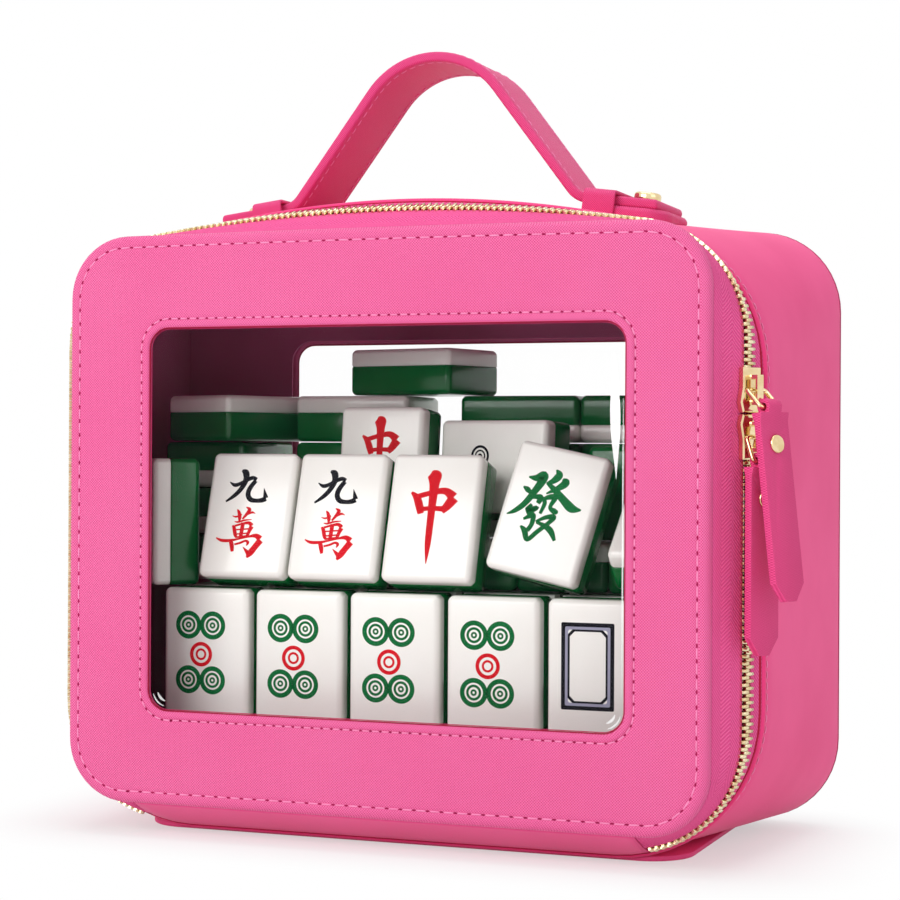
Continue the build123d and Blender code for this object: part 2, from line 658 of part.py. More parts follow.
def handle():
    foot = foot_plane()
    body = taper(RIM, REAR, WALL_Y, BACK_Y)
    with BuildPart() as tab:
        with BuildSketch(foot.offset(-TAB_THICK)):
            RectangleRounded(TAB_LENGTH, TAB_WIDTH, TAB_WIDTH * 0.28)
        extrude(amount=2 * TAB_THICK)
        chamfer(tab.faces().sort_by(Axis((0, 0, 0), foot.z_dir))[-1].edges(), 1.0)
        add(body, mode=Mode.SUBTRACT)
    mirrored(tab, "handle_tab")

    grip = TAB_THICK + HANDLE_THICK / 2
    end = foot.from_local_coords((STRAP_END, 0, grip))
    turn = foot.from_local_coords((HANDLE_FOOT - TAB_MIDDLE, 0, grip))
    apex_z = turn.Z + turn.X * sin(radians(HANDLE_SLOPE)) / cos(radians(HANDLE_SLOPE))
    with BuildPart() as strap:
        with BuildSketch(front_plane(FRONT + HANDLE_Y)):
            with BuildLine():
                FilletPolyline(
                    (-end.X, end.Z),
                    (-turn.X, turn.Z),
                    (0, apex_z),
                    (turn.X, turn.Z),
                    (end.X, end.Z),
                    radius=(FOOT_RADIUS, APEX_RADIUS, FOOT_RADIUS),
                )
                offset(amount=HANDLE_THICK / 2, side=Side.BOTH)
            make_face()
        extrude(amount=HANDLE_WIDTH / 2, both=True)
    save(strap, "handle_strap")

    with BuildPart() as stud:
        with BuildSketch(foot.offset(TAB_THICK + HANDLE_THICK)):
            with Locations((STRAP_END - STUD_INSET, 0)):
                Circle(STUD_RADIUS)
        extrude(amount=STUD_HEIGHT)
        chamfer(stud.faces().sort_by(Axis((0, 0, 0), foot.z_dir))[-1].edges(), 0.6)
    mirrored(stud, "handle_stud")

    with BuildPart() as keeper:
        across = Plane(
            origin=foot.from_local_coords((KEEPER_MIDDLE - TAB_MIDDLE - KEEPER_LENGTH / 2, 0, 0)),
            x_dir=(0, 1, 0),
            z_dir=foot.x_dir,
        )
        inner_width = TAB_WIDTH + CLEAR
        inner_height = TAB_THICK + HANDLE_THICK + CLEAR
        with BuildSketch(across):
            with Locations((0, inner_height / 2 - TAB_THICK)):
                RectangleRounded(
                    inner_width + 2 * KEEPER_THICK,
                    inner_height + 2 * TAB_THICK + 2 * KEEPER_THICK,
                    2 * KEEPER_THICK,
                )
            with Locations((0, inner_height / 2 - TAB_THICK)):
                Rectangle(inner_width, inner_height + 2 * TAB_THICK, mode=Mode.SUBTRACT)
        extrude(amount=KEEPER_LENGTH)
        add(body, mode=Mode.SUBTRACT)
    mirrored(keeper, "handle_keeper")


# ---- tiles --------------------------------------------------------------------------------------------------
def tile_halves(edge):
    """Ivory half and green half of a tile about its own middle, face towards -Y, top towards +Z."""
    halves = []
    joint = TILE_FACE - TILE_DEPTH / 2
    for y0, y1 in ((-TILE_DEPTH / 2, joint), (joint, TILE_DEPTH / 2)):
        with BuildPart() as half:
            with Locations((0, (y0 + y1) / 2, 0)):
                Box(TILE_WIDTH, y1 - y0, TILE_HEIGHT)
            if edge:
                chamfer([e for e in half.edges() if abs(e.center().Y - joint) > 0.01], edge)
        halves.append(half.part)
    return halves


def tile_group(name, edge, places):
    """Write the ivory and the green halves of the tiles at the given places."""
    for half, colour in zip(tile_halves(edge), ("ivory", "green")):
        with BuildPart() as group:
            with Locations(*places):
                add(half)
        save(group, f"{name}_{colour}")


def tile_place(x, to_back, z, turn=(0, 0, 0)):
    """Place of a tile's middle, rolled in its own plane, then leant back (negative), then turned about +Z."""
    lean, roll, yaw = turn
    rolled = Location((0, 0, 0), (lean, 0, 0)) * Location((0, 0, 0), (0, roll, 0))
    return Location((x, BACK - WALL - to_back, z), (0, 0, yaw)) * rolled


def tiles():
    deep = TILE_DEPTH + TILE_GAP
    row_depths = [ROW_BEHIND + TILE_DEPTH / 2 + deep * row for row in range(5)]
    columns = [ROW_SHIFT + ROW_PITCH * column for column in (-2, -1, 0, 1, 2)]
    on_floor = FLOOR + TILE_GAP
    standing = on_floor + TILE_WIDTH + TILE_GAP
    upper = standing + TILE_HEIGHT + TILE_GAP

    tile_group(
        "floor_tiles",
        0,
        [
            tile_place(column * (TILE_HEIGHT + TILE_GAP), depth, on_floor + TILE_WIDTH / 2, (0, 90, 0))
            for column in (-1, 0, 1)
            for depth in row_depths
        ],
    )
    tile_group(
        "front_tiles",
        TILE_CHAMFER,
        [tile_place(x, row_depths[-1], standing + TILE_HEIGHT / 2) for x in columns],
    )
    tile_group(
        "standing_tiles",
        0,
        [tile_place(x, depth, standing + TILE_HEIGHT / 2) for x in columns for depth in row_depths[:-1]],
    )

    def heaped(x, to_back, z, turn):
        """Place of a tile thrown on top, given in tile heights from the middle, the back lining and the rows."""
        return tile_place(x * TILE_HEIGHT, to_back * TILE_HEIGHT, upper + z * TILE_HEIGHT, turn)

    tile_group(
        "leaning_tiles",
        TILE_CHAMFER,
        [
            heaped(-1.35, 1.743, 0.524, (-17, 0, 0)),
            heaped(-0.59, 1.743, 0.524, (-17, 0, 0)),
            heaped(0.19, 1.743, 0.524, (-17, 0, 0)),
            heaped(1.1, 1.723, 0.58, (-15, 12, 0)),
            heaped(-2.2, 1.635, 0.505, (0, 0, -50)),
            heaped(2.1, 1.645, 0.422, (-50, 90, 0)),
            heaped(-0.463, 1.165, 0.907, (-6, 0, -4)),
            heaped(0.485, 1.085, 0.948, (-3, 90, -15)),
            heaped(1.688, 0.96, 0.753, (0, 90, 180)),
        ],
    )
    face_up, face_down = -90, 90
    layers = [(0.5 + layer) * TILE_DEPTH / TILE_HEIGHT + 0.0075 * layer for layer in range(5)]
    tile_group(
        "stacked_tiles",
        TILE_CHAMFER,
        [
            *[heaped(-1.145 + 0.7325 * i, 0.903, layers[0], (face_up, 0, 0)) for i in range(5)],
            *[heaped(-2.162, 0.573, z, (face_down, 0, 0)) for z in layers[:3]],
            heaped(-1.958, 0.785, layers[3], (face_up, 0, -20)),
            *[heaped(-0.925, 0.505, z, (face_down, 0, 90)) for z in layers[1:3]],
            heaped(-0.925, 0.505, layers[3], (face_up, 0, 90)),
            *[heaped(x, 0.368, z, (face_down, 0, 90)) for x in (0.475, 1.488) for z in layers[1:4]],
            heaped(-0.427, 0.495, layers[4], (face_up, 0, 76)),
        ],
    )


tapes()
teeth()
sliders()
handle()
lid_panel()
body_walls(back_panel())
base()
tiles()
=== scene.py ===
"""Dresses the zip-around mahjong case: leather, zip, handle, pulls, films and the tiles with their marks.

Lengths are in metres, in the frame of the solids: front towards -Y, zip sliders on the +X side, +Z up.
"""

from math import atan2, cos, pi, radians, sin, sqrt
from typing import NamedTuple

import bmesh
import bpy
from mathutils import Matrix, Quaternion, Vector
from mathutils.bvhtree import BVHTree


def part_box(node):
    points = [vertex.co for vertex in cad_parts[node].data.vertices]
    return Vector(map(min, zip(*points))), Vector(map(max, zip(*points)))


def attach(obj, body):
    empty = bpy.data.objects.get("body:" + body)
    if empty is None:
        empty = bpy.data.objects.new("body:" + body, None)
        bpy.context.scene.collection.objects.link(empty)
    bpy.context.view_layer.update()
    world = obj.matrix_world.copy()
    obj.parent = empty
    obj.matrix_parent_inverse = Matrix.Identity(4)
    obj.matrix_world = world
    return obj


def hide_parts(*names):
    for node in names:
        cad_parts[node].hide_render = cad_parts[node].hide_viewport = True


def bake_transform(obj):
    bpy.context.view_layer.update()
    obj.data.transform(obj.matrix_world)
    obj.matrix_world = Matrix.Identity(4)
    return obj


MM = 0.001
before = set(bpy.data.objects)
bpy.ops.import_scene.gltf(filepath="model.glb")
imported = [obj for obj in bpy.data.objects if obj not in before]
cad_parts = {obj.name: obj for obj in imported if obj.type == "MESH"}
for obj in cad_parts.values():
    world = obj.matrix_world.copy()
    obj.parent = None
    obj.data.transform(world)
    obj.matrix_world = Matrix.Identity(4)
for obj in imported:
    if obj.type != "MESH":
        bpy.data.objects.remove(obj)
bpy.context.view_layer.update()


# ---- sizes, worked out from the frame ----
class Form(NamedTuple):
    """Front outline of a shell; crown is the rise of its top, corner a radius, middle its shift along X."""

    half: float
    top: float
    bottom: float
    crown: float
    corner: float
    middle: float = 0.0


lid_low, lid_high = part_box("lid_cover")
rim_low, rim_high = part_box("body_rim")
rear_low, rear_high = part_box("back_cover")
pane_low, pane_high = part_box("lid_window_trim")

FRONT = lid_low.y
SEAM_Y = lid_high.y
BACK = rear_high.y
BACK_Y = rear_low.y
WALL_Y = rim_high.y
RIM_FRONT = rim_low.y
RIM_Y = (RIM_FRONT + WALL_Y) / 2
RIM_PROUD = 0.9 * MM
BODY_BOTTOM = rear_low.z
TRIM = 2.4 * MM

LID = Form(lid_high.x, lid_high.z, lid_low.z, 0.6 * MM, 19 * MM)
RIM = Form(rim_high.x - RIM_PROUD, rim_high.z - RIM_PROUD, BODY_BOTTOM, 19 * MM, 44 * MM)
REAR = Form(rear_high.x, rear_high.z, BODY_BOTTOM, 7 * MM, 26 * MM)
PANE_HALF = (pane_high.x - pane_low.x) / 2 - TRIM
PANE_MIDDLE = (pane_high.x + pane_low.x) / 2
PANE = Form(PANE_HALF, pane_high.z - TRIM, pane_low.z + TRIM, 0.02 * MM, 6.5 * MM, PANE_MIDDLE)
CENTRE = (LID.top + LID.bottom) / 2

LEATHER = 1.2 * MM
STRIP_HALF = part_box("hinge_strip")[1].x
ZIP_LINE = 0.67  # where the chain lies, from the lid's seam (0) to the rim (1)
TOOTH_REACH = 2.3 * MM
TOOTH_PITCH = 2.0 * MM
SLIDER_MEETING = (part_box("slider_upper")[0].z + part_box("slider_lower")[1].z) / 2
SEAM_PITCH = 4.25 * MM
FINE_PITCH = 3.1 * MM
SEAM_INSET = 1.3 * MM  # sewn groove, in from the rounded edge
WALL_SEAM = 3.4 * MM  # sewn groove of the wall, behind the rim
THREAD_SINK = 0.22 * MM  # depth of the stitches in a panel's groove
PANE_SEAM = 2.6 * MM  # sewn groove round the window, out from the film's edge
# sections of a panel's two grooves in mm: across, and depth
PANE_GROOVE = ((2.2, 0.16), (2.6, 0.3), (3.0, 0.2), (3.6, 0.0))
EDGE_GROOVE = ((1.5, 0.0), (0.7, 0.06), (0.35, 0.2), (0.0, 0.28), (-0.35, 0.18), (-0.7, 0.02), (-1.1, 0.0))

# points on the eight pieces of an outline: base, corner, side, corner, top, corner, side, corner
POINTS = (44, 12, 36, 12, 44, 12, 36, 12)


# ---- outlines and skins ----
def segments(form, inset=0.0):
    """The outline as eight joined pieces, anticlockwise from the base, as arcs or pairs of ends."""
    crown_radius = (form.half**2 + form.crown**2) / (2 * form.crown) - inset
    half, top, bottom, corner = form.half - inset, form.top - inset, form.bottom + inset, form.corner - inset
    side = half - corner
    low = bottom + corner
    crown_centre = top - crown_radius
    high = crown_centre + sqrt((crown_radius - corner) ** 2 - side**2)
    lean = atan2(high - crown_centre, side)
    return [
        ((-side, bottom), (side, bottom)),
        ((side, low), corner, -pi / 2, pi / 2),
        ((half, low), (half, high)),
        ((side, high), corner, 0, lean),
        ((0, crown_centre), crown_radius, lean, pi - 2 * lean),
        ((-side, high), corner, pi - lean, lean),
        ((-half, high), (-half, low)),
        ((-side, low), corner, pi, pi / 2),
    ]


def ring(form, inset, y):
    """Points of an outline at depth y, the same number for every form."""
    points = []
    for piece, count in zip(segments(form, inset), POINTS):
        for k in range(count):
            share = k / count
            if len(piece) == 2:
                (x0, z0), (x1, z1) = piece
                x, z = x0 + (x1 - x0) * share, z0 + (z1 - z0) * share
            else:
                (cx, cz), radius, start, sweep = piece
                x, z = cx + radius * cos(start + sweep * share), cz + radius * sin(start + sweep * share)
            points.append(Vector((x + form.middle, y, z)))
    return points


def between(ring_a, ring_b, share, y=None):
    """Ring part of the way from one to another, at depth y if that is given."""
    points = [a.lerp(b, share) for a, b in zip(ring_a, ring_b)]
    return points if y is None else [Vector((p.x, y, p.z)) for p in points]


def band(share, inset=0.0):
    """Ring on the sloping band between the lid's seam (share 0) and the body's rim (share 1)."""
    return between(ring(LID, inset, SEAM_Y), ring(RIM, inset, RIM_FRONT), share)


def wall(share, inset=0.0):
    """Ring on the body's wall between its rim (share 0) and the back cover's seam (share 1)."""
    return between(ring(RIM, inset, WALL_Y), ring(REAR, inset, BACK_Y), share)


def opened(points, half_gap, count, across=False):
    """The ring as count points from right to left of a gap at the base, or across that gap."""
    def in_gap(p):
        return abs(p.x) < half_gap and p.z < CENTRE

    size = len(points)
    start = next(k for k in range(size) if in_gap(points[k - 1]) != across and in_gap(points[k]) == across)
    run = [points[(start + k) % size] for k in range(size)]
    kept = [p for p in run if in_gap(p) == across]
    last_gap = [p for p in run if in_gap(p) != across]
    first = edge_point(points[start - 1], kept[0], half_gap)
    last = edge_point(kept[-1], last_gap[0], half_gap)
    return resampled([first, *kept, last], count)


def edge_point(a, b, half_gap):
    """Where the piece from a to b crosses the side of the gap."""
    limit = half_gap if a.x + b.x > 0 else -half_gap
    if abs(b.x - a.x) < 1e-9:
        return a.copy()
    return a.lerp(b, min(max((limit - a.x) / (b.x - a.x), 0.0), 1.0))


def lengths_along(points):
    """Length of a line up to each of its points."""
    marks = [0.0]
    for a, b in zip(points, points[1:]):
        marks.append(marks[-1] + (b - a).length)
    return marks


def headings(points):
    """Run of an open line at each of its points."""
    return [b - a for a, b in zip([points[0], *points], [*points[1:], points[-1]])]


def resampled(points, count):
    """Count points at equal steps along a line."""
    marks = lengths_along(points)
    line, k = [], 0
    for step in range(count):
        goal = marks[-1] * step / (count - 1)
        while k < len(points) - 2 and marks[k + 1] < goal:
            k += 1
        run = marks[k + 1] - marks[k]
        line.append(points[k].lerp(points[k + 1], (goal - marks[k]) / run if run > 0 else 0.0))
    return line


# ---- pieces ----
def mesh_of(bm, name):
    mesh = bpy.data.meshes.new(name)
    bm.to_mesh(mesh)
    bm.free()
    return mesh


def linked(name, data):
    made = bpy.data.objects.new(name, data)
    bpy.context.scene.collection.objects.link(made)
    return made


def piece_of(name, mesh, slot, body, nodes=()):
    """Piece with its body and the nodes that it stands for; its slot is not used."""
    piece = linked(name, mesh)
    if body:
        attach(piece, body)
    if nodes:
        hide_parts(*nodes)
    return piece


def finished(bm, name, materials, slot, body, *nodes):
    """Piece made of a bmesh, with its materials."""
    bmesh.ops.recalc_face_normals(bm, faces=bm.faces)
    mesh = mesh_of(bm, name)
    for finish in materials:
        mesh.materials.append(finish)
    return piece_of(name, mesh, slot, body, nodes)


def skinned(rings, around=True, finishes=None):
    """Bmesh of a closed wall through a loop of rings, its UV map in metres round and across it."""
    bm = bmesh.new()
    grid = [[bm.verts.new(p) for p in points] for points in rings]
    surface = bm.loops.layers.uv.new("surface")
    count = len(rings[0])
    steps = count if around else count - 1
    along = lengths_along([*rings[0], rings[0][0]])
    across = lengths_along([points[0] for points in (*rings, rings[0])])
    for row, verts in enumerate(grid):
        after = grid[(row + 1) % len(grid)]
        for k in range(steps):
            n = (k + 1) % count
            face = bm.faces.new((verts[k], verts[n], after[n], after[k]))
            face.smooth = True
            face.material_index = finishes[row] if finishes else 0
            spots = ((k, row), (k + 1, row), (k + 1, row + 1), (k, row + 1))
            for loop, (u, v) in zip(face.loops, spots):
                loop[surface].uv = (along[u], across[v])
    if not around:
        for k in (0, -1):
            bm.faces.new([verts[k] for verts in grid])
    return bm


# ---- shader groups ----
def srgb(colour):
    """Colour given as 0-255 values, as the shader's linear one."""
    shares = [v / 255 for v in colour]
    return (*(v / 12.92 if v <= 0.04045 else ((v + 0.055) / 1.055) ** 2.4 for v in shares), 1.0)


def node(tree, kind, settings=(), **values):
    """Node with its settings and the values or links of its inputs, given by name or number."""
    made = tree.nodes.new(kind)
    for key, value in dict(settings).items():
        setattr(made, key, value)
    for key, value in values.items():
        socket = made.inputs[int(key[1:]) if key[0] == "i" and key[1:].isdigit() else key.replace("_", " ")]
        if isinstance(value, bpy.types.NodeSocket):
            tree.links.new(value, socket)
        else:
            socket.default_value = value
    return made


def maths(tree, operation, a, b=0.0):
    return node(tree, "ShaderNodeMath", {"operation": operation}, i0=a, i1=b).outputs[0]


def noise(tree, where, scale, detail=2.0):
    return node(tree, "ShaderNodeTexNoise", Vector=where, Scale=scale, Detail=detail).outputs["Fac"]


def bumped(tree, height, strength, distance):
    return node(tree, "ShaderNodeBump", Strength=strength, Distance=distance, Height=height).outputs["Normal"]


def ranged(tree, value, settings=(), **limits):
    return node(tree, "ShaderNodeMapRange", settings, Value=value, **limits).outputs["Result"]


def mixed(tree, share, a, b):
    return node(tree, "ShaderNodeMix", {"data_type": "RGBA"}, i0=share, i6=a, i7=b).outputs[2]


def wave(tree, phase):
    """Sine of the phase, from nought to one."""
    return maths(tree, "ADD", maths(tree, "MULTIPLY", maths(tree, "SINE", phase), 0.5), 0.5)


def group_of(tree_type, name, inputs, build):
    """Node group with inputs (name, kind, default); build gives its outputs: name to (kind, source)."""
    group = bpy.data.node_groups.new(name, tree_type)
    for label, kind, *default in inputs:
        socket = group.interface.new_socket(label, in_out="INPUT", socket_type=f"NodeSocket{kind}")
        if default:
            socket.default_value = default[0]
    given, out = group.nodes.new("NodeGroupInput"), group.nodes.new("NodeGroupOutput")
    for label, (kind, source) in build(group, given.outputs).items():
        group.interface.new_socket(label, in_out="OUTPUT", socket_type=f"NodeSocket{kind}")
        group.links.new(source, out.inputs[label])
    return group


def relief_group(name, mask_name, mask, size_name, size, depth, fuzz, fuzz_share, distance):
    """Relief from a mask and finer noise, given by its scale and share; distance is the height in metres."""
    def build(group, given):
        relief = mask(group, given["Vector"], given[size_name])
        grain = maths(group, "MULTIPLY", noise(group, given["Vector"], fuzz), fuzz_share)
        normal = bumped(group, maths(group, "ADD", relief, grain), given["Depth"], distance)
        return {mask_name: ("Float", relief), "Normal": ("Vector", normal)}

    inputs = [("Vector", "Vector"), (size_name, "Float", size), ("Depth", "Float", depth)]
    return group_of("ShaderNodeTree", name, inputs, build)


def hatch_ridges(tree, where, pitch):
    """Pressed saffiano grain: two diagonal families of fine ridges, broken by noise."""
    scale = maths(tree, "DIVIDE", 2 * pi, pitch)
    wander = maths(tree, "MULTIPLY", noise(tree, where, 900.0, 1.0), 2.0)
    spot = node(tree, "ShaderNodeSeparateXYZ", Vector=where).outputs
    depth = maths(tree, "ADD", spot["X"], spot["Y"])
    ridges = []
    for sign in (1.0, -1.0):
        line = maths(tree, "ADD", depth, maths(tree, "MULTIPLY", spot["Z"], sign))
        ridges.append(wave(tree, maths(tree, "ADD", maths(tree, "MULTIPLY", line, scale), wander)))
    return maths(tree, "MULTIPLY", maths(tree, "ADD", *ridges), 0.5)


def pebbles(tree, where, size):
    """Fine pebbled grain of smooth leather."""
    scale = maths(tree, "DIVIDE", 1.0, size)
    cells = node(tree, "ShaderNodeTexVoronoi", {"feature": "SMOOTH_F1"}, Vector=where, Scale=scale)
    return cells.outputs["Distance"]


def woven_ribs(tree, where, width):
    """Slanting ribs that change direction in narrow columns, on a UV map in metres."""
    spot = node(tree, "ShaderNodeSeparateXYZ", Vector=where).outputs
    line = maths(tree, "ADD", spot["X"], maths(tree, "PINGPONG", spot["Y"], 3.6 * MM))
    return wave(tree, maths(tree, "MULTIPLY", line, maths(tree, "DIVIDE", 2 * pi, width)))


def slow_change(group, given):
    """Colour that goes over a surface from a light to a deep tone."""
    patches = noise(group, given["Vector"], maths(group, "DIVIDE", 1.0, given["Size"]), 3.0)
    share = ranged(group, patches, From_Min=0.35, From_Max=0.65)
    return {"Color": ("Color", mixed(group, share, given["Light"], given["Deep"]))}


CROSS_HATCH, FINE_GRAIN, HERRINGBONE = (
    relief_group(*values, distance * MM)
    for *values, distance in (
        ("Pressed cross hatch", "Ridge", hatch_ridges, "Pitch", 1.2 * MM, 0.3, 2600.0, 0.5, 0.2),
        ("Fine leather grain", "Pebble", pebbles, "Size", 0.8 * MM, 0.25, 3200.0, 0.6, 0.15),
        ("Herringbone weave", "Rib", woven_ribs, "Rib", 0.7 * MM, 0.5, 2500.0, 0.6, 0.25),
    )
)
MOTTLE_INPUTS = [("Vector", "Vector"), ("Light", "Color"), ("Deep", "Color"), ("Size", "Float", 0.03)]
MOTTLE = group_of("ShaderNodeTree", "Mottled tone", MOTTLE_INPUTS, slow_change)


# ---- materials ----
def material(name, sources, **constants):
    """Material with constants on the shader's own sockets, the others fed by sources(tree, coordinates)."""
    made = bpy.data.materials.new(name)
    made.use_nodes = True
    tree = made.node_tree
    inputs = tree.nodes["Principled BSDF"].inputs
    for key, value in constants.items():
        inputs[key.replace("_", " ")].default_value = value
    for key, source in sources(tree, tree.nodes.new("ShaderNodeTexCoord").outputs).items():
        tree.links.new(source, inputs[key])
    return made


def placed_group(tree, group, **values):
    return node(tree, "ShaderNodeGroup", {"node_tree": group}, **values).outputs


def toned(tree, where, tones, size):
    """Mottled colour between a light and a deep tone."""
    light, deep = (srgb(tone) for tone in tones)
    return placed_group(tree, MOTTLE, Vector=where, Light=light, Deep=deep, Size=size)[0]


def saffiano(name, light, deep, groove, pitch):
    def sources(tree, spot):
        hatch = placed_group(tree, CROSS_HATCH, Vector=spot["Object"], Pitch=pitch, Depth=0.7)
        # the hatch's valleys take the groove colour: painted shade in the grooves, on top of the bumped
        # relief
        valley_shade = maths(tree, "SUBTRACT", 1.0, hatch["Ridge"])
        colour = mixed(tree, valley_shade, toned(tree, spot["Object"], (light, deep), 0.05), srgb(groove))
        return {"Base Color": colour, "Normal": hatch["Normal"]}

    return material(name, sources, Roughness=0.5, Specular_IOR_Level=0.25)


def smooth_leather(name, *tones, roughness=0.45, depth=0.22):
    def sources(tree, spot):
        grain = placed_group(tree, FINE_GRAIN, Vector=spot["Object"], Size=0.0009, Depth=depth)
        return {"Base Color": toned(tree, spot["Object"], tones, 0.045), "Normal": grain["Normal"]}

    return material(name, sources, Roughness=roughness, Specular_IOR_Level=0.2)


def woven(name, tone, groove):
    def sources(tree, spot):
        weave = placed_group(tree, HERRINGBONE, Vector=spot["UV"], Rib=0.0011, Depth=0.8)
        # the valleys between the ribs lean towards the groove colour: painted shade between the threads
        valley_shade = maths(tree, "MULTIPLY", maths(tree, "SUBTRACT", 1.0, weave[0]), 0.7)
        colour = mixed(tree, valley_shade, toned(tree, spot["Object"], (tone, tone), 0.03), srgb(groove))
        return {"Base Color": colour, "Normal": weave["Normal"]}

    return material(name, sources, Roughness=0.8, Specular_IOR_Level=0.1)


def mottled(name, tones, patch, scale, detail, strength, distance, **constants):
    """Material of two tones in patches, its surface broken by noise."""
    def sources(tree, spot):
        normal = bumped(tree, noise(tree, spot["Object"], scale, detail), strength, distance)
        return {"Base Color": toned(tree, spot["Object"], tones, patch), "Normal": normal}

    return material(name, sources, **constants)


def metal(name, *tones, roughness):
    return mottled(name, tones, 0.004, 1400.0, 3.0, 0.06, 0.0001, Roughness=roughness, Metallic=1.0)


def plastic(name, *tones, roughness=0.5, specular=0.1):
    constants = {"Roughness": roughness, "Specular_IOR_Level": specular}
    return mottled(name, tones, 0.02, 90.0, 0.0, 0.02, 0.0002, **constants)


def film_sources(tree, spot):
    """Clear sheet: next to no colour of its own, only what it mirrors."""
    waves = noise(tree, spot["Object"], 9.0, 1.0)
    alpha = ranged(tree, waves, To_Min=0.002, To_Max=0.006)
    return {"Alpha": alpha, "Normal": bumped(tree, waves, 0.4, 0.003)}


def glint_sources(tree, spot):
    """Painted highlight on the clear sheet: a mostly opaque white mirror, bright wherever it mirrors."""
    return {"Alpha": ranged(tree, noise(tree, spot["Object"], 60.0, 1.0), To_Min=0.45, To_Max=0.9)}


# the third colour of each saffiano is painted shade in the grooves of its hatch
FRONT_LEATHER = saffiano("front leather", (255, 136, 190), (253, 128, 184), (212, 46, 118), 0.82 * MM)
HANDLE_LEATHER = saffiano("handle leather", (250, 92, 156), (244, 84, 148), (206, 42, 106), 0.7 * MM)
EDGE_LEATHER = smooth_leather("edge leather", (248, 92, 156), (242, 84, 148))
WALL_LEATHER = smooth_leather("wall leather", (249, 90, 152), (241, 80, 142), roughness=0.55)
RIM_LEATHER = smooth_leather("rim leather", (246, 66, 136), (240, 58, 126))
# painted shade for the piping in the seams
SEAM_SHADE = smooth_leather("seam shade", (184, 16, 62), (168, 12, 52), roughness=0.7)
# painted shade where the leather turns into the window
LIP_SHADE = smooth_leather("window lip shade", (172, 12, 60), (158, 8, 50), roughness=0.5)
LIP_LINE = smooth_leather("window line", (206, 50, 106), (196, 42, 96), roughness=0.4)
# the second colour of the tape is painted shade between its ribs
TAPE_WEAVE = woven("zip tape weave", (255, 112, 174), (226, 56, 130))
TAPE_SHADE = smooth_leather("zip tape shade", (166, 20, 58), (140, 14, 46), roughness=0.8)
LINING_CLOTH = smooth_leather("plum lining", (186, 90, 134), (168, 76, 118), roughness=0.6, depth=0.1)
BOARD = smooth_leather("grey board", (120, 96, 104), (104, 84, 92), roughness=0.85)
GOLD = metal("pale gold", (244, 224, 180), (226, 200, 150), roughness=0.1)
TEETH_GOLD = metal("zip teeth gold", (240, 226, 190), (214, 190, 142), roughness=0.2)
IVORY = plastic("ivory tile", (252, 251, 246), (250, 248, 242), roughness=0.16, specular=0.4)
GREEN = plastic("green tile", (4, 112, 52), (2, 102, 44), roughness=0.16, specular=0.4)
MARK_RED = plastic("red mark", (222, 14, 34), (208, 8, 26))
MARK_GREEN = plastic("green mark", (4, 112, 56), (2, 98, 46))
MARK_BLACK = plastic("black mark", (14, 14, 26), (8, 8, 18))
MARK_GREY = plastic("grey mark", (168, 168, 190), (158, 158, 182))
FILM = material("clear film", film_sources, Roughness=0.04, Metallic=1.0)
# painted highlight: a mostly opaque white mirror for the glints on the film
FILM_GLINT_PAINT = material("painted film glint", glint_sources, Roughness=0.25, Metallic=1.0, Base_Color=(1, 1, 1, 1))
THREAD = mottled(
    "pink thread", ((250, 146, 196), (242, 130, 182)), 0.003, 2500.0, 2.0, 0.3, 0.0001,
    Roughness=0.65, Sheen_Weight=0.2,
)
# painted shade: the dark seen in the stitch holes
HOLE_SHADE = smooth_leather("stitch hole", (172, 24, 84), (150, 16, 70), roughness=0.9)


# ---- repeats along a path ----
def along_line(tree, given):
    """Set an item at every pitch along a line, upright on its outward direction."""
    def step(kind, settings=(), **values):
        return node(tree, kind, settings, **values).outputs[0]

    curve = step("GeometryNodeMeshToCurve", Mesh=given["Line"])
    steps = step("GeometryNodeResampleCurve", {"mode": "LENGTH"}, Curve=curve, Length=given["Pitch"])
    outward = step("GeometryNodeInputNamedAttribute", {"data_type": "FLOAT_VECTOR"}, Name="outward")
    align = "FunctionNodeAlignRotationToVector"
    lying = step(align, {"axis": "X"}, Vector=step("GeometryNodeInputTangent"))
    upright = step(align, {"axis": "Z", "pivot_axis": "X"}, Rotation=lying, Vector=outward)
    item = node(tree, "GeometryNodeObjectInfo", i0=given["Item"]).outputs["Geometry"]
    placed = step("GeometryNodeInstanceOnPoints", Points=steps, Instance=item, Rotation=upright)
    real = step("GeometryNodeRealizeInstances", Geometry=placed)
    return {"Row": ("Geometry", step("GeometryNodeSetMaterial", Geometry=real, Material=given["Finish"]))}


REPEAT_INPUTS = [("Line", "Geometry"), ("Item", "Object"), ("Pitch", "Float"), ("Finish", "Material")]
REPEAT = group_of("GeometryNodeTree", "Repeat along a line", REPEAT_INPUTS, along_line)


def template(name, build, *values):
    """Small item, drawn at the origin along +X with its top towards +Z, that a row repeats."""
    bm = bmesh.new()
    build(bm, *values)
    bmesh.ops.recalc_face_normals(bm, faces=bm.faces)
    return bpy.data.objects.new(name, mesh_of(bm, name))


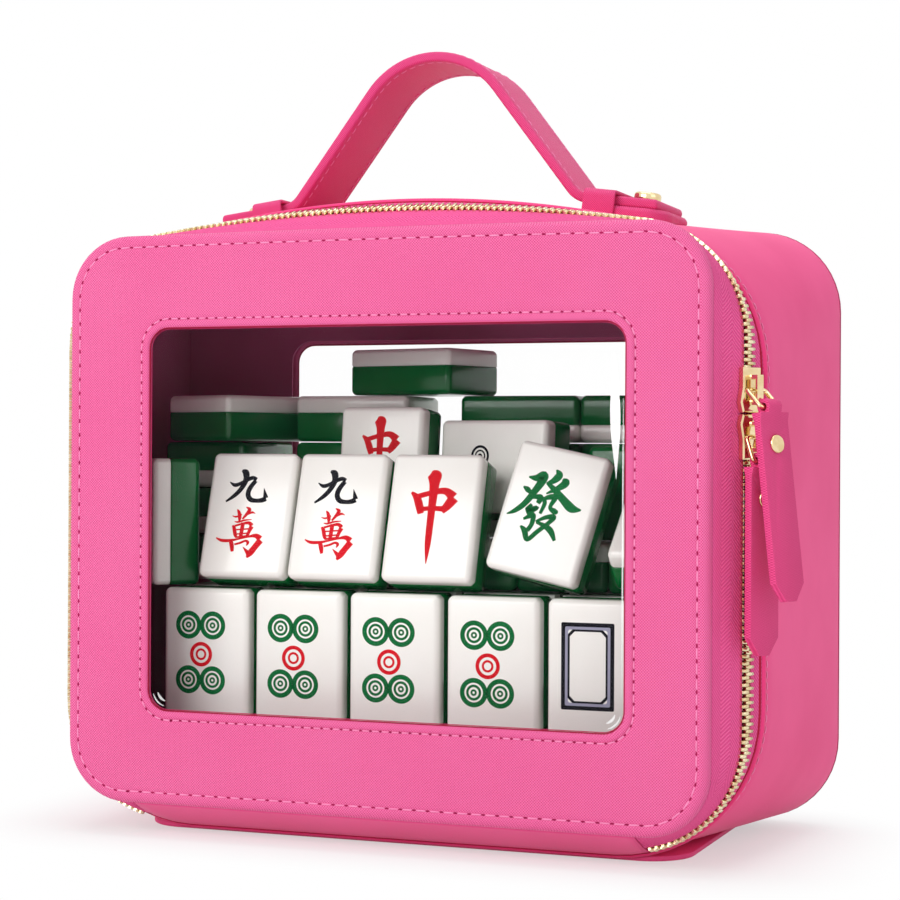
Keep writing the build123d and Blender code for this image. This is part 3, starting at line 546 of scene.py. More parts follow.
def row(name, lines, item, pitch, finish, slot, body, *nodes):
    """Piece made of one item repeated along lines, each a list of points with outward directions."""
    mesh = bpy.data.meshes.new(f"{name} lines")
    points, directions, edges = [], [], []
    for line in lines:
        first = len(points)
        points += [p for p, _ in line]
        directions += [d for _, d in line]
        edges += [(first + k, first + k + 1) for k in range(len(line) - 1)]
    mesh.from_pydata(points, edges, [])
    outward = mesh.attributes.new("outward", "FLOAT_VECTOR", "POINT")
    outward.data.foreach_set("vector", [c for d in directions for c in d])
    maker = linked(f"{name} maker", mesh)
    modifier = maker.modifiers.new("row", "NODES")
    modifier.node_group = REPEAT
    sockets = {s.name: s.identifier for s in REPEAT.interface.items_tree if s.in_out == "INPUT"}
    for label, value in (("Item", item), ("Pitch", pitch), ("Finish", finish)):
        modifier[sockets[label]] = value
    plain = bpy.data.meshes.new_from_object(maker.evaluated_get(bpy.context.evaluated_depsgraph_get()))
    bpy.data.objects.remove(maker)
    plain.name = name
    piece_of(name, plain, slot, body, nodes)


def close_tube(bm, rings):
    """Faces of a tube through rings of vertices, with both ends closed."""
    size = len(rings[0])
    for a, b in zip(rings, rings[1:]):
        for k in range(size):
            bm.faces.new((a[k], a[(k + 1) % size], b[(k + 1) % size], b[k])).smooth = True
    bm.faces.new(rings[0])
    bm.faces.new(rings[-1])


THREAD_WIDTH = 0.27 * MM
# along the stitch, height and width of its sections, as shares of its length and of the thread's width
STITCH_SECTIONS = ((-0.5, -0.9, 0.5), (-0.36, 0.1, 0.9), (0.0, 0.3, 1.0), (0.36, 0.1, 0.9), (0.5, -0.9, 0.5))
TOOTH_HALF_WIDTH = 0.47 * MM
TOOTH_HALF_HEIGHT = 1.0 * MM
TOOTH_DROP = 0.4 * MM  # how far a tooth's middle lies below the chain's line
# along a tooth, from its root over the chain's middle: reach, and its width and height as shares
TOOTH_SECTIONS = ((-TOOTH_REACH, 0.75, 0.8), (-0.9 * MM, 1.0, 1.0), (0.0, 1.0, 1.05), (0.75 * MM, 0.72, 0.85))


def stitch_item(bm, pitch):
    """Thread that dips into the leather at both ends."""
    rings = []
    for share, rise, size in STITCH_SECTIONS:
        x, wide, tall = share * 0.78 * pitch, THREAD_WIDTH * size, THREAD_WIDTH * 0.6 * size
        z = rise * THREAD_WIDTH
        turns = [pi * k / 3 for k in range(6)]
        rings.append([bm.verts.new((x, cos(turn) * wide, z + sin(turn) * tall)) for turn in turns])
    close_tube(bm, rings)


def hole_shade_item(bm, pitch):
    """Painted shade of a stitch hole: a dark slit between two stitches, a little proud of the leather so that
    it shows.
    """
    radius = 0.3 * MM
    stretched = Matrix.Diagonal((0.15 * pitch / radius, 1, 1, 1))
    bmesh.ops.create_cone(
        bm, cap_ends=True, segments=10, radius1=radius, radius2=0.8 * radius, depth=0.1 * MM,
        matrix=Matrix.Translation((pitch / 2, 0, 0.02 * MM)) @ stretched,
    )


def tooth_item(bm, side):
    """Rounded tooth that reaches over the chain's middle; side is +1 or -1."""
    rings = []
    for reach, wide, tall in TOOTH_SECTIONS:
        w, h = TOOTH_HALF_WIDTH * wide, TOOTH_HALF_HEIGHT * tall
        low, shoulder, flat = -h * 0.7, h * 0.6, w * 0.55
        corners = [(-w, low), (-w, shoulder), (-flat, h), (flat, h), (w, shoulder), (w, low)]
        rings.append([bm.verts.new((x, side * reach, z - TOOTH_DROP)) for x, z in corners])
    close_tube(bm, rings)


STITCHES = {
    pitch: (template("stitch", stitch_item, pitch), template("stitch hole", hole_shade_item, pitch))
    for pitch in (SEAM_PITCH, FINE_PITCH)
}


def stitched(name, lines, body, pitch=SEAM_PITCH, holes=True):
    """Rows of stitches, with painted shade for their holes where they show."""
    stitch, hole = STITCHES[pitch]
    row(f"{name}_stitches", lines, stitch, pitch, THREAD, "trim_leather", body)
    if holes:
        row(f"{name}_stitch_holes", lines, hole, pitch, HOLE_SHADE, "trim_leather", body)


def facing(points, direction):
    """Line of points that all face one way, closed back to its start."""
    return [(p, Vector(direction)) for p in [*points, points[0]]]


# ---- lid and back panels ----
def panel(name, form, face_y, edge_y, node_name, body):
    """Padded leather panel round its window, with a sewn groove and a rolled edge."""
    side = 1 if edge_y > face_y else -1
    edge_radius = abs(edge_y - face_y)
    pane = ring(PANE, -TRIM, face_y)
    flat = ring(form, edge_radius + 4.2 * MM, face_y)
    rings = [ring(PANE, -TRIM, face_y + side * sink) for sink in (LEATHER, 0.4 * MM)]
    rings += [ring(PANE, -grow * MM, face_y + side * sink * MM) for grow, sink in PANE_GROOVE]
    rings += [between(pane, flat, share, face_y) for share in (0.12, 0.3, 0.6, 0.85)]
    rings.append(flat)
    groove = edge_radius + SEAM_INSET
    rings += [ring(form, groove + inset * MM, face_y + side * sink * MM) for inset, sink in EDGE_GROOVE]
    for turn in (pi / 12 * k for k in range(1, 7)):
        inset, sink = edge_radius * (1 - sin(turn)), edge_radius * (1 - cos(turn))
        rings.append(ring(form, inset, face_y + side * sink))
    turn_in = LEATHER + edge_radius * 0.3
    hem = [(0, edge_y - side * 0.2 * MM), (0.5 * MM, edge_y), (LEATHER, edge_y)]
    hem += [(turn_in, face_y + side * turn_in), (LEATHER + edge_radius, face_y + side * LEATHER)]
    rings += [ring(form, inset, y) for inset, y in hem]
    finished(skinned(rings), name, (FRONT_LEATHER,), "pink_leather", body, node_name)
    seam = ring(form, groove, face_y + side * THREAD_SINK)
    stitched(name, [facing(seam, (0, -side, 0))], body)
    inner = ring(PANE, -PANE_SEAM, face_y + side * THREAD_SINK)
    stitched(f"{name}_window", [facing(inner, (0, -side, 0))], body, FINE_PITCH)


def window_trim(name, face_y, side, node_name, body):
    """Softly rolled leather frame round the window's film, with a lip inside it coloured dark as painted
    shade where the leather turns in, and a line inside.
    """
    rings = []
    for turn in (pi * k / 8 for k in range(9)):
        rings.append(ring(PANE, -TRIM / 2 * (1 - cos(turn)), face_y + side * (0.35 - 0.65 * sin(turn)) * MM))
    rings += [ring(PANE, -grow, face_y + side * LEATHER) for grow in (TRIM, 0)]
    finished(skinned(rings), name, (FRONT_LEATHER,), "trim_leather", body, node_name)
    for part, inset, sink, size, finish in (
        ("lip", 0.06, 0.55, 0.26, LIP_SHADE), ("line", 0.45, 1.05, 0.13, LIP_LINE),
    ):
        def piping(turn):
            return ring(PANE, (inset - size * cos(turn)) * MM, face_y + side * (sink + size * sin(turn)) * MM)

        tube(f"{name}_{part}", piping, finish, "trim_leather", body)


def leaf(bm, spot_at, steps):
    """Thin leaf whose two sides, -1 and 1, meet at its ends: spot_at(share, side) gives their points."""
    rows = [[bm.verts.new(spot_at(k / steps, side)) for side in (-1, 1)] for k in range(1, steps)]
    for (a, b), (c, d) in zip(rows, rows[1:]):
        bm.faces.new((a, b, d, c))


def film_folds():
    """Painted highlights on the lid's film beside its frame: thin strips of mostly opaque white mirror,
    shaped as folds, that mirror the sky whole.
    """
    face_y = FRONT + LEATHER - 0.03 * MM
    side_x = PANE.half + PANE.middle
    blade_low, blade_high = CENTRE + 12 * MM, CENTRE + 50 * MM
    bm = bmesh.new()

    def blade(share, side):
        z = blade_low + (blade_high - blade_low) * share
        middle = side_x - 3.8 * MM + (blade_high - z) * 0.02
        return middle + side * 1.5 * MM * sin(pi * share) ** 1.5, face_y, z

    def edge_line(share, side):
        z = PANE.bottom + 6 * MM + (PANE.top - PANE.bottom - 24 * MM) * share
        return side_x - 1.1 * MM + side * 0.22 * MM * sin(pi * share), face_y, z

    # the blade, the line beside the frame and the corner strips are painted glints
    leaf(bm, blade, 24)
    leaf(bm, edge_line, 24)
    for end in (-1, 1):
        corner = Vector((PANE.middle + end * (PANE.half - PANE.corner), face_y, PANE.bottom + PANE.corner))
        for radius, width in ((5.2, 0.25), (3.6, 0.4)):
            def glint(share, side):
                turn = -pi / 2 + end * (pi / 2) * (0.1 + 0.8 * share)
                out = radius + end * side * width * sin(pi * share)
                return corner + Vector((cos(turn), 0, sin(turn))) * out * MM

            leaf(bm, glint, 12)
    mesh = mesh_of(bm, "film_folds")
    mesh.materials.append(FILM_GLINT_PAINT)
    piece_of("film_folds", mesh, "film", "lid")


def panels():
    panel("lid_panel", LID, FRONT, SEAM_Y, "lid_cover", "lid")
    panel("back_panel", REAR, BACK, BACK_Y, "back_cover", "case")
    window_trim("lid_window_frame", FRONT, 1, "lid_window_trim", "lid")
    window_trim("back_window_frame", BACK, -1, "back_window_trim", "case")


# ---- body wall, rim, tapes and hinge strip ----
def tube(name, ring_at, finish, slot, body, *nodes, count=8):
    """Tube: ring_at(turn) gives the ring at each angle of its section."""
    rings = [ring_at(2 * pi * k / count) for k in range(count)]
    finished(skinned(rings), name, (finish,), slot, body, *nodes)


def body_wall():
    depth = BACK_Y - WALL_Y
    groove = WALL_SEAM / depth
    stations = [(0.0, 0.35), (0.012, 0.0), (groove - 0.012, 0.02), (groove, 0.28), (groove + 0.012, 0.02)]
    stations += [(0.1 + 0.1 * k, 0.0) for k in range(9)]
    stations += [(0.98, 0.0), (0.994, 0.15), (1.0, 0.6)]
    rings = [wall(share, sink * MM) for share, sink in stations]
    rings += [wall(share, LEATHER) for share in (1.0, 0.5, 0.0)]
    finished(skinned(rings), "body_wall", (WALL_LEATHER,), "pink_leather", "case", "gusset")
    seam = wall(groove, 0.1 * MM)
    runs = zip(seam[1:] + seam[:1], seam[-1:] + seam[:-1])
    line = [(p, (b - a).cross((0, -1, 0)).normalized()) for p, (b, a) in zip(seam, runs)]
    stitched("body_wall", [line + line[:1]], "case", FINE_PITCH, False)

    def bead(turn):
        return ring(RIM, 0.35 * MM - 1.25 * MM * cos(turn), RIM_Y + 1.28 * MM * sin(turn))

    tube("rolled_rim", bead, RIM_LEATHER, "pink_leather", "case", "body_rim", count=12)


def seam_lines():
    """Tubes of piping in the seams beside the tapes and before the back cover, coloured dark as painted shade
    in the seams.
    """
    for name, body, at, size in (
        ("lid_seam", "lid", lambda i: ring(LID, i + 0.5 * MM, SEAM_Y + 0.05 * MM), 0.5),
        ("rim_seam", "case", lambda i: band(0.975, i + 0.35 * MM), 0.5),
        ("back_seam", "case", lambda i: wall(1.0, i + 1.0 * MM), 0.45),
    ):
        def piping(turn):
            shift = Vector((0, size * MM * sin(turn), 0))
            return [p + shift for p in at(-size * MM * cos(turn))]

        tube(name, piping, SEAM_SHADE, "trim_leather", body)


def tape(name, near, far, cord_side, body, node_name):
    """Woven tape on the sloping band, thicker along the edge that holds the teeth."""
    thick, cord, sag, bed_gap = 0.8 * MM, 0.2 * MM, 0.12 * MM, 0.036
    shares = [near + (far - near) * k / 8 for k in range(9)]
    outer = []
    for k, share in enumerate(shares):
        to_cord = (k if cord_side > 0 else 8 - k) / 8
        outer.append(band(share, -cord if to_cord > 0.86 else sag * sin(pi * to_cord)))
    inner = [band(share, thick) for share in reversed(shares)]
    bed = [band(ZIP_LINE - cord_side * bed_gap, depth * MM) for depth in (0.5, 0.75)]
    if cord_side > 0:
        rings, shaded = outer + bed + inner, range(8, 11)
    else:
        rings, shaded = outer + inner + bed[::-1], range(17, 20)
    rings = [opened(points, STRIP_HALF + 0.3 * MM, 260) for points in rings]
    bm = skinned(rings, around=False, finishes=[int(k in shaded) for k in range(len(rings))])
    finished(bm, name, (TAPE_WEAVE, TAPE_SHADE), "zip_tape", body, node_name)


def zip_chain():
    slope = (band(1.0)[0] - band(0.0)[0]).length
    reach = TOOTH_REACH / slope
    tape("lid_tape", 0.0, ZIP_LINE - reach * 0.9, 1, "lid", "lid_zip_tape")
    tape("body_tape", ZIP_LINE + reach * 0.9, 1.0, -1, "case", "body_zip_tape")

    gap = STRIP_HALF + 2.0 * MM
    middle = opened(band(ZIP_LINE), gap, 420)
    across = [b - a for a, b in zip(opened(band(0.4), gap, 420), opened(band(0.9), gap, 420))]
    line = [(p, run.cross(over).normalized()) for p, run, over in zip(middle, headings(middle), across)]
    for name, late, side, body, nodes in (
        ("lid_zip_row", 0.0, -1, "lid", ("lid_teeth", "lid_teeth_run")),
        ("body_zip_row", TOOTH_PITCH / 2, 1, "case", ("body_teeth", "body_teeth_run")),
    ):
        item = template(f"{name} tooth", tooth_item, -side)
        runs = [stretch(run, late) for run in split_at(line, SLIDER_MEETING)]
        row(name, runs, item, TOOTH_PITCH, TEETH_GOLD, "zip_metal", body, *nodes)


def stretch(line, start):
    """The line from start on, cut to a whole number of teeth, so that the two rows stay in step."""
    marks = lengths_along([p for p, _ in line])
    end = start + TOOTH_PITCH * int((marks[-1] - TOOTH_PITCH / 2) / TOOTH_PITCH)

    def at(goal):
        k = next(k for k in range(len(marks) - 1) if marks[k + 1] >= goal - 1e-9)
        share = (goal - marks[k]) / (marks[k + 1] - marks[k])
        return line[k][0].lerp(line[k + 1][0], share), line[k][1]

    return [at(start), *(line[k] for k in range(len(line)) if start < marks[k] < end), at(end)]


def split_at(points, height):
    """The line in two runs, parted on the right-hand side round a height."""
    parted = [k for k, (p, _) in enumerate(points) if p.x > LID.half and abs(p.z - height) < 4.5 * MM]
    return [points[: parted[0]], points[parted[-1] + 1 :]]


def hinge_cloth():
    """Leather strip that hinges the lid."""
    shares = [0.02 + 0.96 * k / 12 for k in range(13)]
    outer = [band(share, -0.1 * MM * sin(pi * share)) for share in shares]
    inner = [band(share, LEATHER) for share in reversed(shares)]
    rings = [opened(points, STRIP_HALF, 60, across=True) for points in outer + inner]
    bm = skinned(rings, around=False)
    piece = finished(bm, "hinge_leather", (EDGE_LEATHER,), "pink_leather", None, "hinge_strip")
    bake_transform(piece)


# ---- softened copies of rigid nodes ----
FOOT_SLOPE = 0.1277  # of the case's top under the handle's feet
FOOT_CUT = 5.5 * MM  # taken off the outer end of each foot
TAB_CUT = 5 * MM  # and off the inner end of its tab
STUD_SHIFT = 4 * MM

keeper_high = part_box("handle_keeper_right")[1].x
tab_low, tab_high = (corner.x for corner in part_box("handle_tab_right"))


def drawn_in(*reaches):
    """Move along the crowned top: distances from the middle, each with the one that takes its place."""
    def move(p):
        out = abs(p.x)
        for (a, new_a), (b, new_b) in zip(reaches, reaches[1:]):
            if a <= out <= b:
                shift = new_a + (out - a) * (new_b - new_a) / (b - a) - out
                return Vector((p.x + (shift if p.x > 0 else -shift), p.y, p.z - FOOT_SLOPE * shift))
        return p

    return move


HELD = keeper_high - 10 * MM
STRAP_DRAWN = drawn_in((keeper_high, keeper_high), (tab_high, tab_high - FOOT_CUT))
FOOT_DRAWN = drawn_in(
    (tab_low, tab_low + TAB_CUT), (HELD, HELD), (keeper_high, keeper_high), (tab_high, tab_high - FOOT_CUT)
)
STUD_DRAWN = drawn_in((0, -STUD_SHIFT), (1, 1 - STUD_SHIFT))


def softened(node_name, piece_name, finish, slot, width, body, steps=2, sharp=30, move=None):
    """Copy of a node with its edges rounded by a width in mm, its points then moved if a move is given."""
    bm = bmesh.new()
    bm.from_mesh(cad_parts[node_name].data)
    bmesh.ops.remove_doubles(bm, verts=bm.verts, dist=0.002 * MM)
    bmesh.ops.dissolve_limit(bm, angle_limit=radians(1.5), verts=bm.verts, edges=bm.edges)
    edges = [e for e in bm.edges if len(e.link_faces) == 2 and e.calc_face_angle() > radians(sharp)]
    shape = {"segments": steps, "profile": 0.5, "affect": "EDGES", "clamp_overlap": True}
    bmesh.ops.bevel(bm, geom=edges, offset=width * MM, **shape)
    if move:
        bmesh.ops.triangulate(bm, faces=bm.faces[:])
        for vert in bm.verts:
            vert.co = move(vert.co)
        bm.normal_update()
    for face in bm.faces:
        face.smooth = True
    piece = finished(bm, piece_name, (finish,), slot, body, node_name)
    piece.data.set_sharp_from_angle(angle=radians(40))


def draped(tree, spots, towards):
    """Spots moved along a direction onto a node's surface, each with the surface's outward direction."""
    hits = [tree.ray_cast(Vector(spot), Vector(towards)) for spot in spots]
    return [(place, facing_out) for place, facing_out, _, _ in hits if place]


def handle_stitches():
    """Seams along both edges of the strap, on its upper and its under side."""
    low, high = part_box("handle_strap")
    bm = bmesh.new()
    bm.from_mesh(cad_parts["handle_strap"].data)
    tree = BVHTree.FromBMesh(bm)
    bm.free()
    inset, end, above, below = 2.6 * MM, 18 * MM, 0.3, 0.19
    steps = [low.x + end + (high.x - low.x - 2 * end) * k / 240 for k in range(1, 240)]
    upper, under = [], []
    for y in (low.y + inset, high.y - inset):
        upper.append(draped(tree, [(x, y, above) for x in steps], (0, 0, -1)))
        under.append(draped(tree, [(x, y, below) for x in steps if abs(x) < 0.58 * high.x], (0, 0, 1)))
    stitched("strap", upper + under, "case", FINE_PITCH, False)


def fittings():
    gold, leather = (GOLD, "gold_metal"), (HANDLE_LEATHER, "trim_leather")
    for end in ("upper", "lower"):
        softened(f"slider_{end}", f"slider_shell_{end}", *gold, 0.3, f"slider_{end}")
        softened(f"ring_{end}", f"ring_wire_{end}", *gold, 0.42, f"ring_{end}")
        softened(f"pull_{end}", f"pull_leather_{end}", *leather, 0.45, f"pull_{end}")
        softened(f"pull_rivet_{end}", f"pull_stud_{end}", *gold, 0.25, f"pull_{end}")
    for side in ("left", "right"):
        softened(f"handle_tab_{side}", f"tab_{side}", *leather, 0.6, "case", move=FOOT_DRAWN)
        softened(f"handle_keeper_{side}", f"keeper_{side}", *leather, 0.4, "case")
        softened(f"handle_stud_{side}", f"stud_{side}", *gold, 0.5, "case", move=STUD_DRAWN)
    softened("handle_strap", "carry_strap", *leather, 0.9, "case", 3, move=STRAP_DRAWN)
    softened("base_panel", "base_patch", WALL_LEATHER, "trim_leather", 0.4, "case")
    for group in ("front", "leaning", "stacked"):
        for layer, finish in (("ivory", IVORY), ("green", GREEN)):
            names = f"{group}_tiles_{layer}", f"{group}_{layer}"
            softened(*names, finish, f"tile_{layer}", 0.5, "case", 2, 25)


# ---- marks on the tiles ----
# Brush strokes of four characters: across, up and width of each point in turn, in tenths of a millimetre
# from the middle of the tile's face.
NINE = (
    (-37, 140, 6, -24, 133, 18, -19, 117, 17, -23, 98, 15, -35, 76, 13, -53, 57, 11, -79, 38, 5),
    (-74, 102, 2, -56, 92, 10, -37, 97, 10, -17, 108, 10, 3, 116, 11, 18, 111, 9),
    (15, 107, 12, 2, 89, 13, -5, 72, 14, -4, 57, 14, 7, 45, 13, 26, 42, 11, 45, 44, 13, 58, 50, 15),
    (57, 51, 15, 47, 83, 1),
)
MYRIAD = (
    (-49, -8, 2, -35, -11, 5, -17, -3, 4),
    (-35, 13, 3, -28, 3, 9, -23, -14, 10, -24, -25, 4),
    (-5, 21, 2, 7, 13, 10, 0, -1, 9, -13, -18, 5),
    (3, -3, 4, 17, 4, 6, 29, 0, 1),
    (-39, -26, 2, -27, -28, 5, -6, -22, 5, 19, -19, 2),
    (-44, -39, 5, -37, -49, 10, -31, -68, 10, -26, -77, 6),
    (-37, -41, 6, -14, -34, 6, 10, -30, 9, 23, -39, 11),
    (22, -41, 13, 16, -57, 10, 11, -72, 9),
    (-32, -53, 4, 16, -49, 4),
    (-29, -67, 4, 14, -63, 4),
    (-9, -29, 11, -10, -53, 11, -11, -79, 10),
    (-28, -77, 5, 11, -72, 5),
    (-95, -80, 3, -75, -88, 8, -47, -88, 8, -16, -82, 5, 18, -74, 6, 41, -71, 12, 57, -81, 17),
    (59, -85, 18, 43, -107, 17, 30, -126, 17, 19, -141, 6),
    (23, -128, 13, 1, -107, 1),
    (-44, -86, 10, -37, -105, 12, -33, -123, 8),
    (-29, -100, 5, -10, -95, 6, 7, -88, 6, 17, -93, 8, 13, -103, 3),
)
MIDDLE = (
    (-72, 76, 6, -53, 58, 19, -41, 30, 21, -35, 9, 16),
    (-56, 61, 14, -10, 74, 14, 36, 81, 18, 65, 61, 27),
    (67, 60, 29, 48, 34, 23, 32, 17, 16),
    (-36, 23, 12, -2, 26, 12, 33, 25, 14),
    (-10, 145, 6, -3, 130, 37, -1, 100, 27, -1, 42, 21, -1, -16, 19, -1, -86, 16, 0, -147, 2),
)
FORTUNE = (
    (-85, 91, 4, -60, 93, 18, -41, 104, 24, -41, 87, 22, -55, 51, 18, -74, 10, 16, -98, -18, 12,
     -120, -33, 3),
    (-93, 59, 4, -78, 53, 14, -65, 45, 8),
    (-7, 130, 4, 6, 116, 20, -6, 96, 16, -25, 83, 6),
    (20, 106, 6, 33, 99, 20, 17, 79, 16, -17, 53, 4),
    (-24, 86, 8, 8, 68, 16, 41, 46, 20, 73, 27, 22, 103, 28, 4),
    (-64, 29, 6, -45, 37, 12, -30, 37, 16, -34, 19, 12),
    (-51, 12, 9, -61, -8, 12, -32, 6, 11, -59, -19, 13),
    (-22, 37, 10, -13, 23, 11, -18, -10, 8),
    (-21, 35, 8, -2, 46, 14, 14, 46, 14, 7, 16, 10, 25, 6, 15, 35, 8, 6),
    (-64, -37, 6, -49, -25, 12, -37, -20, 14, -34, -46, 12, -42, -68, 12),
    (-67, -59, 5, -50, -70, 15, -34, -94, 12, -10, -64, 12, 15, -33, 11, 27, -11, 14, 3, -17, 11,
     -24, -36, 6),
    (-22, -37, 7, 4, -42, 12, 29, -53, 16, 50, -79, 8),
)


tiles_low, tiles_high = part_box("front_tiles_ivory")
TILE_HEIGHT = tiles_high.z - tiles_low.z
TILE_WIDTH = 0.725 * TILE_HEIGHT
TILE_DEPTH = 0.375 * TILE_HEIGHT
ROW_PITCH = (tiles_high.x - tiles_low.x - TILE_WIDTH) / 4
INSIDE_BACK = BACK - 3.6 * MM
UPPER = tiles_high.z + 0.3 * MM
# in mm: how far a mark stands out of its tile and goes into it, and the least width of a stroke
PROUD, INLAY_DEPTH, FINEST = 0.04, -0.2, 0.12
STROKE_STEPS = 6  # between two points of a stroke
CIRCLE_STEPS = 36
BOLDNESS = 1.2  # widens the strokes
FRAME_MIDDLE = (-2.0, 0.5)  # mm, of the framed tile's face


def turned(degrees, axis):
    return Matrix.Rotation(radians(degrees), 4, axis)


def standing_face(column):
    """Frame of the face of a tile in the front row: x across, y up, z out of the face."""
    x = (tiles_low.x + tiles_high.x) / 2 + column * ROW_PITCH
    return Matrix.Translation((x, tiles_low.y, (tiles_low.z + tiles_high.z) / 2)) @ turned(90, "X")


def heaped_face(x, to_back, z, lean, roll=0, yaw=0):
    """Frame of the face of a tile thrown on top, its middle in tile heights, its turns in degrees."""
    middle = (x * TILE_HEIGHT, INSIDE_BACK - to_back * TILE_HEIGHT, UPPER + z * TILE_HEIGHT)
    turns = turned(yaw, "Z") @ turned(lean, "X") @ turned(roll, "Y")
    return Matrix.Translation(middle) @ turns @ Matrix.Translation((0, -TILE_DEPTH / 2, 0)) @ turned(90, "X")


def inlaid(bm, face, left, right, proud=PROUD):
    """Band between two lines of face points in mm, from inside the tile to just proud of it."""
    closed = left[0] == left[-1]
    pairs = list(zip(left, right))[: -1 if closed else None]
    rows = []
    for pair in pairs:
        spots = [Vector((x, y, z)) * MM for x, y in pair for z in (INLAY_DEPTH, proud)]
        rows.append([bm.verts.new(face @ spot) for spot in spots])
    for k in range(len(rows) if closed else len(rows) - 1):
        low_a, high_a, low_b, high_b = rows[k]
        low_c, high_c, low_d, high_d = rows[(k + 1) % len(rows)]
        bm.faces.new((high_a, high_b, high_d, high_c))
        bm.faces.new((low_a, low_c, low_d, low_b))
        bm.faces.new((low_a, high_a, high_c, low_c))
        bm.faces.new((low_b, low_d, high_d, high_b))
    if not closed:
        for low_a, high_a, low_b, high_b in (rows[0], rows[-1]):
            bm.faces.new((low_a, high_a, high_b, low_b))


def stroke(bm, face, points, proud):
    """Brush stroke that swells and tapers along a smooth line."""
    knots = [Vector(p) for p in (points[0], *points, points[-1])]
    line = []
    for a, b, c, d in zip(knots, knots[1:], knots[2:], knots[3:]):
        for t in (k / STROKE_STEPS for k in range(STROKE_STEPS)):
            bend, twist = 2 * a - 5 * b + 4 * c - d, 3 * b - a - 3 * c + d
            line.append(b + (c - a) * (t / 2) + bend * (t * t / 2) + twist * (t**3 / 2))
    line.append(knots[-1])
    left, right = [], []
    for here, run in zip(line, headings(line)):
        ahead = run.xy.normalized()
        side = Vector((-ahead.y, ahead.x)) * max(here.z, FINEST) / 2
        left.append(tuple(here.xy + side))
        right.append(tuple(here.xy - side))
    inlaid(bm, face, left, right, proud)


def circle(bm, face, x, y, radius, width):
    """Ring of the given outer radius and width, or a dot."""
    turns = [2 * pi * (k % CIRCLE_STEPS) / CIRCLE_STEPS for k in range(CIRCLE_STEPS + 1)]
    radii = (max(radius - width, 0.02), radius)
    inlaid(bm, face, *([(x + r * cos(t), y + r * sin(t)) for t in turns] for r in radii))


def frame_line(bm, face, half_width, half_height, cut, width, proud=PROUD):
    """Frame whose corners are cut, the cut in mm like the others."""
    def corner_line(w, h):
        corners = [(w, cut - h), (w, h - cut), (w - cut, h), (cut - w, h)]
        corners += [(-x, -y) for x, y in corners]
        return [(FRAME_MIDDLE[0] + x, FRAME_MIDDLE[1] + y) for x, y in (*corners, corners[0])]

    inner = corner_line(half_width - width, half_height - width)
    inlaid(bm, face, inner, corner_line(half_width, half_height), proud)


def mark(name, finish, *draws):
    """Piece of inlaid colour; each of its shapes is (maker, frame of the face, further values)."""
    bm = bmesh.new()
    for draw, face, *values in draws:
        draw(bm, face, *values)
    finished(bm, name, (finish,), "tile_ivory", "case")


def written(bm, face, strokes, rise=0.0, scale=1.0):
    """Character, each of its strokes a little prouder than the one before."""
    size = scale / 10
    for k, points in enumerate(strokes):
        triples = zip(points[::3], points[1::3], points[2::3])
        spots = [(x * size, rise + y * size, width * size * BOLDNESS) for x, y, width in triples]
        stroke(bm, face, spots, PROUD + 0.002 * k)


def marks():
    row_faces = [standing_face(column) for column in (-2, -1, 0, 1, 2)]
    first, second, third = (heaped_face(x, 1.743, 0.524, -17) for x in (-1.35, -0.59, 0.19))
    fourth = heaped_face(1.1, 1.723, 0.58, -15, 12)
    behind = heaped_face(-0.463, 1.165, 0.907, -6, 0, -4)
    beside = heaped_face(0.485, 1.085, 0.948, -3, 90, -15)
    green = ((4.4, 1.452), (2.376, 0.748), (0.968, 0.572))

    def circles(face, x, y, sizes):
        return [(circle, face, x, y, radius, width) for radius, width in sizes]

    greens, reds = [], []
    for face in row_faces[:4]:
        for x in (-5.67, 2.67):
            greens += circles(face, x, 8.5, green) + circles(face, x, -8.6, green)
        reds += circles(face, -1.3, -0.6, ((3.85, 1.15), (1.85, 0.7)))
    mark("circles_green", MARK_GREEN, *greens)
    mark("circles_red", MARK_RED, *reds)
    mark("nines", MARK_BLACK, (written, first, NINE), (written, second, NINE))
    mark("myriads", MARK_RED, (written, first, MYRIAD), (written, second, MYRIAD))
    mark("middles", MARK_RED, (written, third, MIDDLE), (written, behind, MIDDLE, 4.1, 0.88))
    mark("fortune", MARK_GREEN, (written, fourth, FORTUNE))
    mark("single_dot", MARK_BLACK, *circles(beside, -3.2, -4.4, ((3.4, 0.8), (2.0, 0.5), (0.8, 0.8))))
    last = row_faces[4]
    outer, inner = (frame_line, last, 8.1, 12.8, 0.3, 1.2), (frame_line, last, 6.1, 10.8, 1.5, 0.6)
    mark("frame_lines", MARK_BLACK, outer, inner)
    mark("frame_band", MARK_GREY, (frame_line, last, 7.0, 11.7, 0.4, 1.0, 0.035))


def carried_over():
    """Better finishes on the nodes whose own shape stays."""
    for finish, *names in (
        (BOARD, "lid_board", "back_board", "wall_board"),
        (LINING_CLOTH, "lid_lining", "back_lining", "wall_lining"),
        (FILM, "lid_window", "back_window"),
        (IVORY, "floor_tiles_ivory", "standing_tiles_ivory"),
        (GREEN, "floor_tiles_green", "standing_tiles_green"),
    ):
        for name in names:
            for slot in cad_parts[name].material_slots:
                slot.material = finish


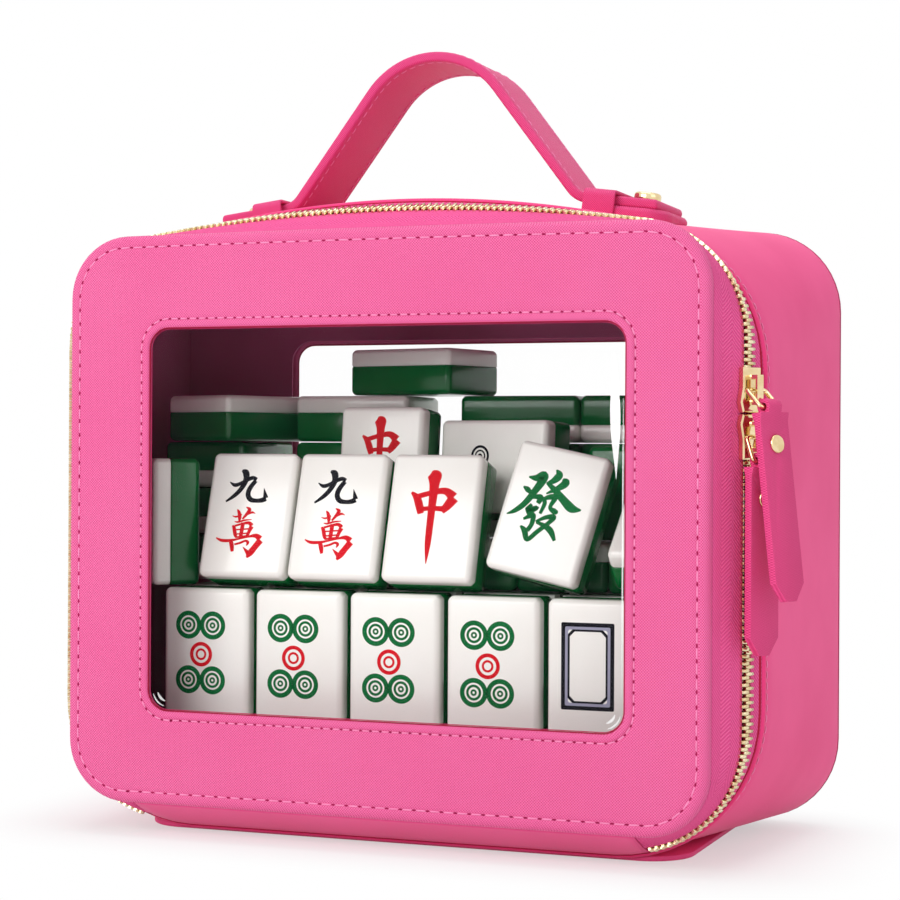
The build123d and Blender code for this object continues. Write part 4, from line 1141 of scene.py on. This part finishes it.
# ---- camera, light and floor ----
WORLD_LIGHT = 0.5
LENS, SENSOR = 87.48, 36.0  # mm
EYE = (0.246, -0.6424, 0.1181)
SIGHT = (-0.3528, 0.9357, 0.0005)
CAMERA_ROLL = 0.0055  # radians
FOOTPRINT = (0.095, 0.03, 0)  # half sizes of the patch of floor whose shadow is deepest
SHADOW_REACH = 0.055
LAMPS = (  # name, place, size, watts
    ("key", (-0.35, -1.2, 0.6), (0.9, 0.7), 8.5),
    ("top", (0.0, 0.1, 1.3), (1.0, 1.0), 6.0),
    ("fill", (1.1, -0.5, 0.6), (0.8, 0.8), 1.5),
)
LAMPS_AIM = (0, 0, 0.1)


def seen_directly(tree):
    """One where a ray comes from the camera, a mirror or a clear sheet, nought where it carries light."""
    path = tree.nodes.new("ShaderNodeLightPath").outputs
    mirrored = maths(tree, "MAXIMUM", path["Is Glossy Ray"], path["Is Transmission Ray"])
    return maths(tree, "MAXIMUM", path["Is Camera Ray"], mirrored)


def floor_finish():
    """Pale floor that takes the object's shadow and fades to white away from it."""
    def sources(tree, spot):
        return {"Base Color": ranged(tree, noise(tree, spot["Object"], 3.0), To_Min=0.9, To_Max=0.92)}

    made = material("floor", sources, Roughness=0.9, Specular_IOR_Level=0.0)
    tree = made.node_tree
    past = tree.nodes["Texture Coordinate"].outputs["Object"]
    for operation, other in (("ABSOLUTE", (0, 0, 0)), ("SUBTRACT", FOOTPRINT), ("MAXIMUM", (0, 0, 0))):
        past = node(tree, "ShaderNodeVectorMath", {"operation": operation}, i0=past, i1=other).outputs[0]
    reach = node(tree, "ShaderNodeVectorMath", {"operation": "LENGTH"}, i0=past).outputs["Value"]
    away = ranged(tree, reach, {"interpolation_type": "SMOOTHSTEP"}, From_Max=SHADOW_REACH, To_Min=0.5)
    white = node(tree, "ShaderNodeEmission", Color=(1, 1, 1, 1), Strength=1.0)
    share = maths(tree, "MULTIPLY", away, seen_directly(tree))
    shader = tree.nodes["Principled BSDF"].outputs[0]
    mix = node(tree, "ShaderNodeMixShader", i0=share, i1=shader, i2=white.outputs[0])
    tree.links.new(mix.outputs[0], tree.nodes["Material Output"].inputs["Surface"])
    return made


def aimed(thing, place, sight, roll=0.0):
    """Set a camera or a lamp at a place, along a line of sight, rolled by an angle."""
    turn = Vector(sight).to_track_quat("-Z", "Y") @ Quaternion((0, 0, 1), roll)
    thing.matrix_world = Matrix.Translation(place) @ turn.to_matrix().to_4x4()


def studio():
    scene = bpy.context.scene
    scene.view_settings.view_transform = "Standard"
    camera = bpy.data.cameras.new("camera")
    camera.sensor_width = SENSOR
    camera.lens = LENS
    scene.camera = linked("camera", camera)
    aimed(scene.camera, EYE, SIGHT, CAMERA_ROLL)

    world = bpy.data.worlds.new("studio")
    scene.world = world
    world.use_nodes = True
    tree = world.node_tree
    sky = tree.nodes["Background"].inputs
    sky["Color"].default_value = (1, 1, 1, 1)
    tree.links.new(ranged(tree, seen_directly(tree), To_Min=WORLD_LIGHT), sky["Strength"])

    for name, place, size, watts in LAMPS:
        data = bpy.data.lights.new(name, "AREA")
        data.shape = "RECTANGLE"
        data.size, data.size_y = size
        data.energy = watts
        aimed(linked(name, data), place, Vector(LAMPS_AIM) - Vector(place))

    grid = bmesh.new()
    bmesh.ops.create_grid(grid, x_segments=2, y_segments=2, size=6.0)
    ground = linked("floor", mesh_of(grid, "floor"))
    ground.data.materials.append(floor_finish())


panels()
film_folds()
body_wall()
seam_lines()
zip_chain()
hinge_cloth()
fittings()
handle_stitches()
marks()
carried_over()
studio()
